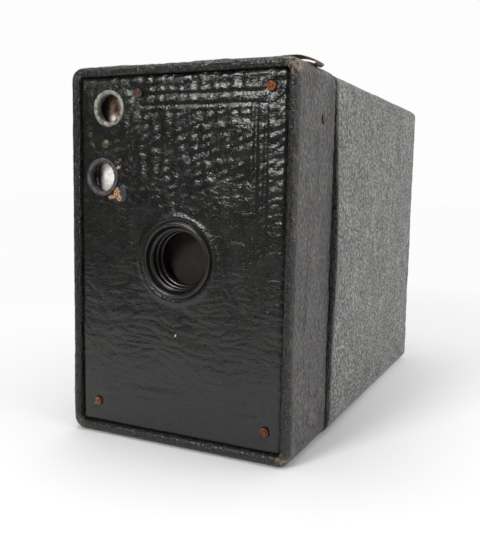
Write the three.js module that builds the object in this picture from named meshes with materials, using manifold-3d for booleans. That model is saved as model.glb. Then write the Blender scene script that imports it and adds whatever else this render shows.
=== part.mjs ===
// A box camera for 70 mm roll film: a shallow front section with the lens, shutter and
// finders carries the film spools and draws forward out of a deep rear shell.
// Millimetres, +Z up, front towards -Y. Inside the assembly group Y is the depth behind
// the front face, and the exported group sets the origin in the middle of the base.
import * as THREE from 'three';
import { mergeVertices } from 'three/addons/utils/BufferGeometryUtils.js';
import Module from 'manifold-3d';

const wasm = await Module();
wasm.setup();

// Driving dimensions
const WIDTH = 83;
const HEIGHT = 126;
const DEPTH = 166;
const CENTRE_Z = HEIGHT / 2;

const FRONT_DEPTH = 35;
const FRAME_WALL = 2.6;
const FRAME_CORNER = 4.2;
const RIM_WIDTH = 3.3;
const RIM_DEPTH = 4;
const EDGE_ROUND = 1.4;
const PANEL_DEPTH = 1.2;
const PANEL_THICKNESS = 2.5;

const SEAM_GAP = 0.6;
const SHELL_DROP = 0.6;
const SHELL_WALL = 2.4;
const SHELL_CORNER = 3.6;

const FIT = 0.3;
const LOOSE_FIT = 0.5;

const TOP_FINDER = { x: -26.3, z: 112.3, hole: 4.6 };
const SIDE_FINDER = { x: -29, z: 89.6, hole: 4.9 };
const EYELET_RIM = 1.45;
const FINDER_DEPTH = 11.3;
const FINDER_WALL = 0.6;
const FINDER_HALF = 6.6;
const VIEW_GLASS_LENGTH = 10.4;
const VIEW_GLASS_WIDTH = 8.4;

const TACKS = {
  top_left: [-14.8, 116.8],
  top_right: [32.3, 117.3],
  bottom_left: [-31.5, 11.1],
  bottom_right: [32.5, 10.4],
};
const TACK_SHANK = 0.6;
const PANEL_PIN = [-27.6, 100.7];

const HOOD_RADIUS = 11.1;
const HOOD_FLANGE = 13;

const SHUTTER_BOARD_DEPTH = 13.6;
const SHUTTER_BOARD_THICKNESS = 1.5;
const SHUTTER_BOARD_TOP = 79;
const SHUTTER_HOLE = 5.8;
const DISC_PIVOT = [3, 48];
const DISC_RADIUS = 26;
const DISC_DEPTH = 12;
const DISC_THICKNESS = 0.6;
const DISC_TRAVEL = 112;
const LEVER_PIVOT = [-30, 34];
const LEVER_TRAVEL = 28;
const LEVER_DEPTH = 10.4;
const LEVER_THICKNESS = 0.7;
const LEVER_OUTER_ARM = 13.5;
const LEVER_INNER_ARM = 12;
const PIVOT_SHANK = 1.2;

const STOP_DEPTH = 25.5;
const STOP_THICKNESS = 0.7;
const STOP_HALF_WIDTH = 7.5;
const STOP_PITCH = 13;
const STOP_RADII = [5, 3.6, 2.5];
const STOP_TAB_HEIGHT = 3.8;

const TIME_DEPTH = 16.2;
const TIME_THICKNESS = 0.7;
const TIME_Z = 74;
const TIME_HALF_HEIGHT = 4;

const LENS_BOARD_DEPTH = 32;
const LENS_BOARD_THICKNESS = 2;
const LENS_RADIUS = 7.6;

const SLEEVE_START = 21;
const SLEEVE_END = 40;
const SLEEVE_THICKNESS = 0.5;
const SLEEVE_HALF_WIDTH = WIDTH / 2 - SHELL_WALL - LOOSE_FIT;
const SLEEVE_BOTTOM = 3;
const SLEEVE_TOP = 122.6;
const NAIL_DEPTH = 24.5;
const NAIL_HEIGHTS = { lower: 18.1, upper: 109.5 };

const PLATE_THICKNESS = 0.8;
const PLATE_X = SLEEVE_HALF_WIDTH - SLEEVE_THICKNESS - FIT - PLATE_THICKNESS;
const PLATE_END = 157;
const PLATE_MARGIN = 4.2;
const PICTURE_HALF_WIDTH = 32.5;
const PICTURE_HALF_HEIGHT = 52.5;
const GATE_DEPTH = 147.5;
const GATE_THICKNESS = 0.8;
const CONE_FRONT_HALF = 9.5;
const CONE_THICKNESS = 0.7;

const SPOOL_DEPTH = 55;
const SPOOL_RISE = 43.3;
const SPOOL_UPPER_Z = CENTRE_Z + SPOOL_RISE;
const SPOOL_LOWER_Z = CENTRE_Z - SPOOL_RISE;
const SPOOL_CORE = 5.5;
const SPOOL_FLANGE = 14;
const FILM_WIDTH = 70;
const SPOOL_LENGTH = 72.8;
const FLANGE_THICKNESS = 0.7;
const DRIVE_SLOT_LENGTH = 5.8;
const DRIVE_SLOT_WIDTH = 1.8;
const DRIVE_SLOT_DEEP = 3;
const PIN_RADIUS = 1.5;

const ROLLER_DEPTH = 152.5;
const ROLLER_RISE = 56.5;
const ROLLER_RADIUS = 2.5;
const ROLLER_AXLE = 1;

const KEY_STEM = 2.6;
const KEY_WING_HALF = 12;
const KEY_WING_INNER = 44.6;
const KEY_WING_OUTER = 57;

const STRAP_DEPTH = 19.4;
const STRAP_WIDTH = 7.6;
const STRAP_THICKNESS = 0.5;
const STRAP_RIVET_X = 33.6;

const WINDOW_Z = CENTRE_Z;
const WINDOW_RADIUS = 5;

// Materials
function material(colour, roughness, metalness = 0) {
  return new THREE.MeshStandardMaterial({ color: colour, roughness, metalness });
}

const leatherette = material(0x2b2a28, 0.5);
const panelCloth = material(0x24231f, 0.42);
const blackCard = material(0x1b1a18, 0.85);
const blackTin = material(0x1d1d1e, 0.45, 0.6);
const dullSteel = material(0x6f6a63, 0.45, 0.9);
const rust = material(0x8a5a35, 0.75, 0.3);
const brass = material(0x8d7f52, 0.4, 0.9);
const wornNickel = material(0xa7a39a, 0.4, 0.85);
const glass = material(0xcfd8d4, 0.08);
const silvering = material(0x9a7f68, 0.25, 0.8);
const ruby = material(0x7a1015, 0.15);
const strapLeather = material(0x38221f, 0.6);
const wood = material(0x6b4a2c, 0.7);

// Solids: joining and cutting closed meshes
function toSolid(geometry) {
  const bare = geometry.clone();
  bare.deleteAttribute('normal');
  bare.deleteAttribute('uv');
  const merged = mergeVertices(bare, 1e-4);
  const corners = [];
  for (let i = 0; i < merged.index.count; i += 3) {
    const [a, b, c] = merged.index.array.slice(i, i + 3);
    if (a !== b && b !== c && c !== a) corners.push(a, b, c);
  }
  return new wasm.Manifold(new wasm.Mesh({
    numProp: 3,
    vertProperties: Float32Array.from(merged.attributes.position.array),
    triVerts: Uint32Array.from(corners),
  }));
}

function toGeometry(solid) {
  const mesh = solid.getMesh();
  const geometry = new THREE.BufferGeometry();
  geometry.setAttribute('position', new THREE.BufferAttribute(mesh.vertProperties, 3));
  geometry.setIndex(new THREE.BufferAttribute(mesh.triVerts, 1));
  geometry.computeVertexNormals();
  return geometry;
}

function cut(body, tools) {
  let solid = toSolid(body);
  for (const tool of tools) solid = solid.subtract(toSolid(tool));
  return toGeometry(solid);
}

function join(bodies) {
  let solid = toSolid(bodies[0]);
  for (const body of bodies.slice(1)) solid = solid.add(toSolid(body));
  return toGeometry(solid);
}

// Shapes drawn as seen from the front (x, z) and run back through the depth
function through(shape, from, to, curveSegments = 3) {
  const geometry = new THREE.ExtrudeGeometry(shape, {
    depth: to - from,
    bevelEnabled: false,
    curveSegments,
  });
  return geometry.rotateX(Math.PI / 2).translate(0, to, 0);
}

// Shapes drawn as seen from the side (depth, z) and run across from x to x
function across(shape, from, to, curveSegments = 3) {
  const geometry = new THREE.ExtrudeGeometry(shape, {
    depth: to - from,
    bevelEnabled: false,
    curveSegments,
  });
  return geometry.rotateX(Math.PI / 2).rotateZ(Math.PI / 2).translate(from, 0, 0);
}

function box(x0, x1, y0, y1, z0, z1) {
  const geometry = new THREE.BoxGeometry(x1 - x0, y1 - y0, z1 - z0);
  return geometry.translate((x0 + x1) / 2, (y0 + y1) / 2, (z0 + z1) / 2);
}

function roundedRect(halfWidth, bottom, top, radius) {
  const shape = new THREE.Shape();
  const right = halfWidth - radius;
  shape.moveTo(-right, bottom);
  shape.lineTo(right, bottom);
  shape.absarc(right, bottom + radius, radius, -Math.PI / 2, 0, false);
  shape.absarc(right, top - radius, radius, 0, Math.PI / 2, false);
  shape.absarc(-right, top - radius, radius, Math.PI / 2, Math.PI, false);
  shape.absarc(-right, bottom + radius, radius, Math.PI, 1.5 * Math.PI, false);
  return shape;
}

function circle(u, v, radius, segments) {
  const points = [];
  for (let i = 0; i < segments; i += 1) {
    const angle = (2 * Math.PI * i) / segments;
    points.push(new THREE.Vector2(u + radius * Math.cos(angle), v + radius * Math.sin(angle)));
  }
  return points;
}

function hole(u, v, radius, segments = 12) {
  return new THREE.Path(circle(u, v, radius, segments));
}

function rectHole(u0, u1, v0, v1) {
  return new THREE.Path([
    new THREE.Vector2(u0, v0),
    new THREE.Vector2(u1, v0),
    new THREE.Vector2(u1, v1),
    new THREE.Vector2(u0, v1),
  ]);
}

// Turned pieces: pairs of radius and distance along the axis
function turned(profile, segments) {
  const points = profile.map(([radius, along]) => new THREE.Vector2(radius, along));
  return new THREE.LatheGeometry(points, segments);
}

function turnedAcross(profile, segments) {
  return turned(profile, segments).rotateZ(-Math.PI / 2);
}

function turnedUpright(profile, segments) {
  return turned(profile, segments).rotateX(Math.PI / 2);
}

function ring(inner, outer, from, to) {
  return [[inner, from], [outer, from], [outer, to], [inner, to], [inner, from]];
}

function rod(radius, from, to) {
  return [[0, from], [radius, from], [radius, to], [0, to]];
}

// A rounded block whose front or rear edge is eased by a small bevel
function easedBlock(bottom, top, corner, from, to, easedEnd) {
  const ease = EDGE_ROUND;
  const inset = roundedRect(WIDTH / 2 - ease, bottom + ease, top - ease, corner - ease);
  const body = new THREE.ExtrudeGeometry(inset, {
    depth: to - from,
    bevelThickness: ease,
    bevelSize: ease,
    bevelSegments: 3,
    curveSegments: 3,
  });
  body.rotateX(Math.PI / 2);
  const reach = WIDTH;
  if (easedEnd === 'front') {
    body.translate(0, to + ease, 0);
    return { body, waste: box(-reach, reach, to, to + 2 * ease + 1, -reach, 2 * reach) };
  }
  body.translate(0, to - ease, 0);
  return { body, waste: box(-reach, reach, from - 2 * ease - 1, from, -reach, 2 * reach) };
}

// Scene helpers
const camera = new THREE.Group();
const assembly = new THREE.Group();
assembly.position.y = -DEPTH / 2;
camera.add(assembly);

function place(group, name, geometry, finish, position = [0, 0, 0]) {
  const mesh = new THREE.Mesh(geometry, finish);
  mesh.name = name;
  mesh.position.set(...position);
  group.add(mesh);
  return mesh;
}

// Front section: a covered frame with a raised rim round a recessed panel
function buildFrame(group) {
  const { body, waste } = easedBlock(0, HEIGHT, FRAME_CORNER, 0, FRONT_DEPTH, 'front');
  const rimHole = roundedRect(WIDTH / 2 - RIM_WIDTH, RIM_WIDTH, HEIGHT - RIM_WIDTH, 2.2);
  const cavity = roundedRect(WIDTH / 2 - FRAME_WALL, FRAME_WALL, HEIGHT - FRAME_WALL, 1.6);
  const outside = WIDTH / 2 + 5;
  const inside = WIDTH / 2 - FRAME_WALL - 1;
  const glassHalf = VIEW_GLASS_LENGTH / 2 + FIT;
  const glassFront = RIM_DEPTH + 1.4;
  const glassRear = glassFront + VIEW_GLASS_WIDTH + 2 * FIT;
  const leverPlay = 4.8;
  const nailHoles = Object.values(NAIL_HEIGHTS).map((z) =>
    turnedAcross(rod(TACK_SHANK + FIT, -outside, outside), 10).translate(0, NAIL_DEPTH, z));
  const rivetHoles = [-STRAP_RIVET_X, STRAP_RIVET_X].map((x) =>
    turnedUpright(rod(TACK_SHANK + FIT, HEIGHT - 5, HEIGHT + 5), 10).translate(x, STRAP_DEPTH, 0));
  const frame = cut(body, [
    waste,
    through(rimHole, -5, FRONT_DEPTH + 5),
    through(cavity, RIM_DEPTH, FRONT_DEPTH + 5),
    box(TOP_FINDER.x - glassHalf, TOP_FINDER.x + glassHalf, glassFront, glassRear,
      HEIGHT - 6, HEIGHT + 5),
    box(-outside, -inside, glassFront, glassRear,
      SIDE_FINDER.z - glassHalf, SIDE_FINDER.z + glassHalf),
    box(-STOP_HALF_WIDTH - FIT, STOP_HALF_WIDTH + FIT, STOP_DEPTH - LOOSE_FIT,
      STOP_DEPTH + STOP_THICKNESS + LOOSE_FIT, HEIGHT - 6, HEIGHT + 5),
    box(-outside, -inside, LEVER_DEPTH - LOOSE_FIT, LEVER_DEPTH + LEVER_THICKNESS + LOOSE_FIT,
      LEVER_PIVOT[1] - leverPlay, LEVER_PIVOT[1] + leverPlay),
    box(-outside, -inside, TIME_DEPTH - LOOSE_FIT, TIME_DEPTH + TIME_THICKNESS + LOOSE_FIT,
      TIME_Z - TIME_HALF_HEIGHT - LOOSE_FIT, TIME_Z + TIME_HALF_HEIGHT + LOOSE_FIT),
    ...nailHoles,
    ...rivetHoles,
  ]);
  place(group, 'front_frame', frame, leatherette);
}

function buildPanel(group) {
  const edge = RIM_WIDTH + FIT;
  const shape = roundedRect(WIDTH / 2 - edge, edge, HEIGHT - edge, 2);
  shape.holes.push(
    hole(0, CENTRE_Z, HOOD_RADIUS + 0.4, 40),
    hole(TOP_FINDER.x, TOP_FINDER.z, TOP_FINDER.hole + 0.6, 24),
    hole(SIDE_FINDER.x, SIDE_FINDER.z, SIDE_FINDER.hole + 0.6, 24),
    hole(...PANEL_PIN, TACK_SHANK + FIT, 10),
    ...Object.values(TACKS).map(([x, z]) => hole(x, z, TACK_SHANK + FIT, 10)),
  );
  const panel = through(shape, PANEL_DEPTH, PANEL_DEPTH + PANEL_THICKNESS);
  place(group, 'front_panel', panel, panelCloth);
  for (const [corner, [x, z]] of Object.entries(TACKS)) {
    place(group, `panel_tack_${corner}`, domedNail(1.8, 0.8, PANEL_THICKNESS), rust,
      [x, PANEL_DEPTH, z]);
  }
  place(group, 'panel_pin', domedNail(1.5, 0.6, PANEL_THICKNESS), brass,
    [PANEL_PIN[0], PANEL_DEPTH, PANEL_PIN[1]]);
}

// A nail with a domed head, its point running back along +Y
function domedNail(radius, rise, length) {
  const lift = 0.05;
  const steps = 4;
  const profile = [];
  for (let i = 0; i <= steps; i += 1) {
    const angle = (Math.PI / 2) * (i / steps);
    profile.push([radius * Math.sin(angle), -lift - rise * Math.cos(angle)]);
  }
  profile.push([TACK_SHANK, -lift], [TACK_SHANK, length], [0, length]);
  return turned(profile, 16);
}

function buildHood(group) {
  const front = PANEL_DEPTH - 0.9;
  const profile = [
    [10.9, front + 0.2],
    [11.6, front],
    [12.4, front],
    [HOOD_FLANGE, front + 0.4],
    [HOOD_FLANGE, PANEL_DEPTH - 0.05],
    [HOOD_RADIUS, PANEL_DEPTH - 0.05],
    [HOOD_RADIUS, 8.9],
    [8.7, 8.9],
    [8.7, 7.2],
    [9.3, 7],
    [9.3, 5],
    [9.9, 4.8],
    [9.9, 2.6],
    [10.7, 2.4],
    [10.9, front + 0.2],
  ];
  place(group, 'lens_hood', turned(profile, 40), blackTin, [0, 0, CENTRE_Z]);
}

// Finders: a round eye in the panel, a mirror at 45 degrees and a ground viewing glass
function buildEyelet(group, name, finder) {
  const front = PANEL_DEPTH - 0.4;
  const bore = finder.hole;
  const profile = [
    [bore, front],
    [bore + EYELET_RIM, front],
    [bore + EYELET_RIM, PANEL_DEPTH - 0.05],
    [bore + FIT, PANEL_DEPTH - 0.05],
    [bore + FIT, PANEL_DEPTH + PANEL_THICKNESS],
    [bore, PANEL_DEPTH + PANEL_THICKNESS],
    [bore, front],
  ];
  place(group, name, turned(profile, 28), wornNickel, [finder.x, 0, finder.z]);
}

function finderLens() {
  const radius = 5.5;
  const profile = [[0, 0], [3, 0.15], [radius, 0.6], [radius, 1.2], [0, 1.2]];
  return turned(profile, 24);
}

const finderFront = RIM_DEPTH + 0.2;
const mirrorDepth = finderFront + 6.25;
const mirrorSize = 10.8;
const mirrorThickness = 0.8;
const frameRim = 1.2;
const frameThickness = 0.5;

function buildTopFinder(group) {
  const { x, z, hole: eye } = TOP_FINDER;
  const rear = finderFront + FINDER_DEPTH;
  const top = HEIGHT - FRAME_WALL - 0.2;
  const inner = FINDER_HALF - FINDER_WALL;
  const eyeHole = turned(rod(eye + 0.4, finderFront - 1, finderFront + 1), 24).translate(x, 0, z);
  const casing = cut(box(x - FINDER_HALF, x + FINDER_HALF, finderFront, rear, z - 6.7, top), [
    box(x - inner, x + inner, finderFront + FINDER_WALL, rear - FINDER_WALL, z - 6.1, top + 5),
    eyeHole,
  ]);
  buildEyelet(group, 'top_finder_eyelet', TOP_FINDER);
  place(group, 'top_finder_box', casing, blackTin);
  place(group, 'top_finder_lens', finderLens(), glass, [x, finderFront + FINDER_WALL + 0.1, z]);
  const plate = new THREE.BoxGeometry(mirrorSize, mirrorSize, mirrorThickness);
  const mirror = place(group, 'top_finder_mirror', plate, silvering, [x, mirrorDepth, z]);
  mirror.rotation.x = Math.PI / 4;
  const glassPlate = new THREE.BoxGeometry(VIEW_GLASS_LENGTH, VIEW_GLASS_WIDTH, 1);
  const glassDepth = RIM_DEPTH + 1.4 + FIT + VIEW_GLASS_WIDTH / 2;
  place(group, 'top_finder_glass', glassPlate, glass, [x, glassDepth, HEIGHT - 0.8]);
  place(group, 'top_finder_frame', viewFrame(), wornNickel, [x, glassDepth, HEIGHT]);
}

function buildSideFinder(group) {
  const { x, z, hole: eye } = SIDE_FINDER;
  const rear = finderFront + FINDER_DEPTH;
  const left = -WIDTH / 2 + FRAME_WALL + 0.3;
  const right = x + FINDER_HALF;
  const inner = FINDER_HALF - FINDER_WALL;
  const eyeHole = turned(rod(eye + 0.4, finderFront - 1, finderFront + 1), 24).translate(x, 0, z);
  const casing = cut(box(left, right, finderFront, rear, z - FINDER_HALF, z + FINDER_HALF), [
    box(left - 5, right - FINDER_WALL, finderFront + FINDER_WALL, rear - FINDER_WALL,
      z - inner, z + inner),
    eyeHole,
  ]);
  buildEyelet(group, 'side_finder_eyelet', SIDE_FINDER);
  place(group, 'side_finder_box', casing, blackTin);
  place(group, 'side_finder_lens', finderLens(), glass, [x, finderFront + FINDER_WALL + 0.1, z]);
  const plate = new THREE.BoxGeometry(mirrorSize, mirrorThickness, mirrorSize);
  const mirror = place(group, 'side_finder_mirror', plate, silvering, [x, mirrorDepth, z]);
  mirror.rotation.z = -Math.PI / 4;
  const glassPlate = new THREE.BoxGeometry(1, VIEW_GLASS_WIDTH, VIEW_GLASS_LENGTH);
  const glassDepth = RIM_DEPTH + 1.4 + FIT + VIEW_GLASS_WIDTH / 2;
  place(group, 'side_finder_glass', glassPlate, glass, [-WIDTH / 2 + 0.8, glassDepth, z]);
  const surround = viewFrame().rotateY(-Math.PI / 2);
  place(group, 'side_finder_frame', surround, wornNickel, [-WIDTH / 2, glassDepth, z]);
}

// A thin rectangular surround lying on the plane z = 0, round one viewing glass
function viewFrame() {
  const halfLength = VIEW_GLASS_LENGTH / 2 + frameRim;
  const halfWidth = VIEW_GLASS_WIDTH / 2 + frameRim;
  const shape = new THREE.Shape(rectHole(-halfLength, halfLength, -halfWidth, halfWidth).getPoints());
  const lip = 0.5;
  shape.holes.push(rectHole(
    -VIEW_GLASS_LENGTH / 2 + lip,
    VIEW_GLASS_LENGTH / 2 - lip,
    -VIEW_GLASS_WIDTH / 2 + lip,
    VIEW_GLASS_WIDTH / 2 - lip,
  ));
  const geometry = new THREE.ExtrudeGeometry(shape, { depth: frameThickness, bevelEnabled: false });
  return geometry.translate(0, 0, 0.05);
}

// Rotary shutter: a disc with a curved slot, kicked over by a lever at the side
function buildShutter(group) {
  const boardRear = SHUTTER_BOARD_DEPTH + SHUTTER_BOARD_THICKNESS;
  const halfWidth = WIDTH / 2 - FRAME_WALL - 0.5;
  const board = roundedRect(halfWidth, FRAME_WALL + 0.5, SHUTTER_BOARD_TOP, 1);
  board.holes.push(
    hole(0, CENTRE_Z, SHUTTER_HOLE, 28),
    hole(...DISC_PIVOT, PIVOT_SHANK + FIT),
    hole(...LEVER_PIVOT, PIVOT_SHANK + FIT),
    hole(...springPost, PIVOT_SHANK),
  );
  place(group, 'shutter_board', through(board, SHUTTER_BOARD_DEPTH, boardRear, 2), blackCard);
  place(group, 'shutter_disc', shutterDisc(), dullSteel, [DISC_PIVOT[0], DISC_DEPTH, DISC_PIVOT[1]]);
  place(group, 'shutter_lever', shutterLever(), dullSteel,
    [LEVER_PIVOT[0], LEVER_DEPTH, LEVER_PIVOT[1]]);
  place(group, 'shutter_disc_pivot', rivet(DISC_DEPTH - 0.8, boardRear), brass,
    [DISC_PIVOT[0], 0, DISC_PIVOT[1]]);
  place(group, 'shutter_lever_pivot', rivet(LEVER_DEPTH - 0.8, boardRear), brass,
    [LEVER_PIVOT[0], 0, LEVER_PIVOT[1]]);
  place(group, 'shutter_spring', shutterSpring(), dullSteel);
}

function rivet(headFront, tail) {
  const headRadius = 2.6;
  const profile = [
    [0, headFront],
    [headRadius * 0.7, headFront],
    [headRadius, headFront + 0.3],
    [headRadius, headFront + 0.5],
    [PIVOT_SHANK, headFront + 0.5],
    [PIVOT_SHANK, tail],
    [0, tail],
  ];
  return turned(profile, 16);
}

function shutterDisc() {
  const toLens = Math.atan2(CENTRE_Z - DISC_PIVOT[1], -DISC_PIVOT[0]);
  const reach = Math.hypot(CENTRE_Z - DISC_PIVOT[1], DISC_PIVOT[0]);
  const middle = toLens + THREE.MathUtils.degToRad(DISC_TRAVEL / 2);
  const spread = THREE.MathUtils.degToRad(3);
  const halfHeight = 4.4;
  const slot = new THREE.Path();
  const end = (angle) => [reach * Math.cos(angle), reach * Math.sin(angle)];
  slot.absarc(0, 0, reach + halfHeight, middle - spread, middle + spread, false);
  slot.absarc(...end(middle + spread), halfHeight, middle + spread, middle + spread + Math.PI, false);
  slot.absarc(0, 0, reach - halfHeight, middle + spread, middle - spread, true);
  slot.absarc(...end(middle - spread), halfHeight, middle - spread + Math.PI,
    middle - spread + 2 * Math.PI, false);
  const disc = new THREE.Shape(circle(0, 0, DISC_RADIUS, 56));
  disc.holes.push(slot, hole(0, 0, PIVOT_SHANK + FIT));
  return through(disc, 0, DISC_THICKNESS, 5);
}

// The lever's outer arm leaves through the side wall and ends in a folded thumb piece
function shutterLever() {
  const outerRest = THREE.MathUtils.degToRad(180 - LEVER_TRAVEL / 2);
  const innerRest = THREE.MathUtils.degToRad(10.3);
  const arm = (length, halfWidth) => {
    const shape = new THREE.Shape();
    shape.absarc(0, 0, 3.4, Math.PI / 3, -Math.PI / 3, false);
    shape.lineTo(length, -halfWidth);
    shape.absarc(length, 0, halfWidth, -Math.PI / 2, Math.PI / 2, false);
    return through(shape, 0, LEVER_THICKNESS, 5);
  };
  const thumb = box(LEVER_OUTER_ARM - 0.9, LEVER_OUTER_ARM + 2.3, -2, 3, -2.2, 2.2);
  const outer = join([arm(LEVER_OUTER_ARM, 1.7), thumb]).rotateY(-outerRest);
  const inner = arm(LEVER_INNER_ARM, 1.9).rotateY(-innerRest);
  const bore = turned(rod(PIVOT_SHANK + FIT, -1, 2), 12);
  return cut(join([outer, inner]), [bore]);
}

const springPost = [-24, 60];

// Hairpin spring standing on its post in the shutter board
function shutterSpring() {
  const wire = 0.35;
  const coil = 2.2;
  const plane = LEVER_DEPTH - 1.1;
  const [x, z] = springPost;
  const route = [
    new THREE.Vector3(x - 1, plane, z - 17),
    new THREE.Vector3(x - coil, plane, z - 6),
  ];
  const turns = 14;
  for (let i = 0; i <= turns; i += 1) {
    const angle = Math.PI - (i / turns) * 2.6 * Math.PI;
    const step = (i / turns) * 1.8;
    route.push(new THREE.Vector3(x + coil * Math.cos(angle), plane - step, z + coil * Math.sin(angle)));
  }
  route.push(new THREE.Vector3(x + 7, plane - 2, z + 2));
  const section = new THREE.Shape(circle(0, 0, wire, 6));
  return new THREE.ExtrudeGeometry(section, {
    steps: 48,
    extrudePath: new THREE.CatmullRomCurve3(route),
    bevelEnabled: false,
  });
}

// Stops and time setting: two metal strips that slide
function buildSlides(group) {
  const bottom = CENTRE_Z - STOP_PITCH * (STOP_RADII.length - 1) - 6;
  const top = HEIGHT + STOP_TAB_HEIGHT;
  const strip = new THREE.Shape(
    rectHole(-STOP_HALF_WIDTH, STOP_HALF_WIDTH, bottom, top).getPoints(),
  );
  STOP_RADII.forEach((radius, i) => strip.holes.push(hole(0, CENTRE_Z - i * STOP_PITCH, radius, 24)));
  const tabDepth = STOP_DEPTH - 1.3;
  const stopSlide = join([
    through(strip, STOP_DEPTH, STOP_DEPTH + STOP_THICKNESS),
    box(-5, 5, tabDepth, STOP_DEPTH + 2, top - 1.2, top),
  ]);
  place(group, 'stop_slide', stopSlide, brass);

  const outer = -WIDTH / 2 - 3.4;
  const timeSlide = join([
    box(outer, -17, TIME_DEPTH, TIME_DEPTH + TIME_THICKNESS,
      TIME_Z - TIME_HALF_HEIGHT, TIME_Z + TIME_HALF_HEIGHT),
    box(outer - 0.9, outer + 0.4, TIME_DEPTH - 1.6, TIME_DEPTH + 2.3, TIME_Z - 3.4, TIME_Z + 3.4),
  ]);
  place(group, 'time_slide', timeSlide, brass);
}

// Lens: a single meniscus in a turned cell on a board behind the stops
function buildLens(group) {
  const boardSide = SLEEVE_HALF_WIDTH - SLEEVE_THICKNESS - FIT;
  const board = roundedRect(boardSide, SLEEVE_BOTTOM + SLEEVE_THICKNESS + FIT,
    SLEEVE_TOP - SLEEVE_THICKNESS - FIT, 1);
  board.holes.push(hole(0, CENTRE_Z, LENS_RADIUS, 28));
  const boardRear = LENS_BOARD_DEPTH + LENS_BOARD_THICKNESS;
  place(group, 'lens_board', through(board, LENS_BOARD_DEPTH, boardRear, 2), wood);
  const rear = LENS_BOARD_DEPTH - 0.1;
  const cell = [
    [LENS_RADIUS + FIT, rear - 4.1],
    [LENS_RADIUS + 1.8, rear - 4.1],
    [LENS_RADIUS + 1.8, rear - 1],
    [LENS_RADIUS + 5, rear - 1],
    [LENS_RADIUS + 5, rear],
    [LENS_RADIUS - 0.8, rear],
    [LENS_RADIUS - 0.8, rear - 0.8],
    [LENS_RADIUS + FIT, rear - 0.8],
    [LENS_RADIUS + FIT, rear - 4.1],
  ];
  place(group, 'lens_cell', turned(cell, 32), brass, [0, 0, CENTRE_Z]);
  place(group, 'meniscus_lens', turned(meniscusProfile(), 32), glass, [0, rear - 1, CENTRE_Z]);
  const retainer = ring(LENS_RADIUS - 0.8, LENS_RADIUS, rear - 4, rear - 3.5);
  place(group, 'lens_retaining_ring', turned(retainer, 28), dullSteel, [0, 0, CENTRE_Z]);
}

// Concave towards the stop, bulging back to the film
function meniscusProfile() {
  const profile = [];
  const steps = 6;
  for (let i = 0; i <= steps; i += 1) {
    const share = i / steps;
    profile.push([LENS_RADIUS * share, -1.3 - 0.8 * share * share]);
  }
  for (let i = steps; i >= 0; i -= 1) {
    const share = i / steps;
    profile.push([LENS_RADIUS * share, 0.6 - 1.3 * share * share]);
  }
  return profile;
}

// A tin sleeve nailed inside the front section laps the seam and carries the film holder
function buildSleeve(group) {
  const outer = roundedRect(SLEEVE_HALF_WIDTH, SLEEVE_BOTTOM, SLEEVE_TOP, 1.5);
  const inner = roundedRect(SLEEVE_HALF_WIDTH - SLEEVE_THICKNESS, SLEEVE_BOTTOM + SLEEVE_THICKNESS,
    SLEEVE_TOP - SLEEVE_THICKNESS, 1);
  outer.holes.push(new THREE.Path(inner.getPoints(2)));
  const nailHoles = Object.values(NAIL_HEIGHTS).map((z) =>
    turnedAcross(rod(TACK_SHANK + FIT, -WIDTH, WIDTH), 10).translate(0, NAIL_DEPTH, z));
  const sleeve = cut(through(outer, SLEEVE_START, SLEEVE_END, 2), [
    box(-STOP_HALF_WIDTH - FIT, STOP_HALF_WIDTH + FIT, STOP_DEPTH - LOOSE_FIT,
      STOP_DEPTH + STOP_THICKNESS + LOOSE_FIT, SLEEVE_TOP - 5, SLEEVE_TOP + 5),
    ...nailHoles,
  ]);
  place(group, 'inner_sleeve', sleeve, blackTin);
  for (const [level, z] of Object.entries(NAIL_HEIGHTS)) {
    const length = FRAME_WALL + SLEEVE_THICKNESS + 1;
    const right = place(group, `side_nail_${level}_right`, flatNail(length), dullSteel,
      [WIDTH / 2, NAIL_DEPTH, z]);
    right.rotation.z = Math.PI / 2;
    const left = place(group, `side_nail_${level}_left`, flatNail(length), dullSteel,
      [-WIDTH / 2, NAIL_DEPTH, z]);
    left.rotation.z = -Math.PI / 2;
  }
}

function flatNail(length) {
  const profile = [
    [0, -0.3],
    [1.2, -0.3],
    [1.7, -0.15],
    [1.7, -0.05],
    [TACK_SHANK, -0.05],
    [TACK_SHANK, length],
    [0, length],
  ];
  return turned(profile, 12);
}

// Film holder: side plates, light cone, film gate, rollers and spool springs
function holeInPlate(level, side) {
  return level === 'upper' && side === 'left' ? KEY_STEM + 1.7 : PIN_RADIUS + 0.4;
}

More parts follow.
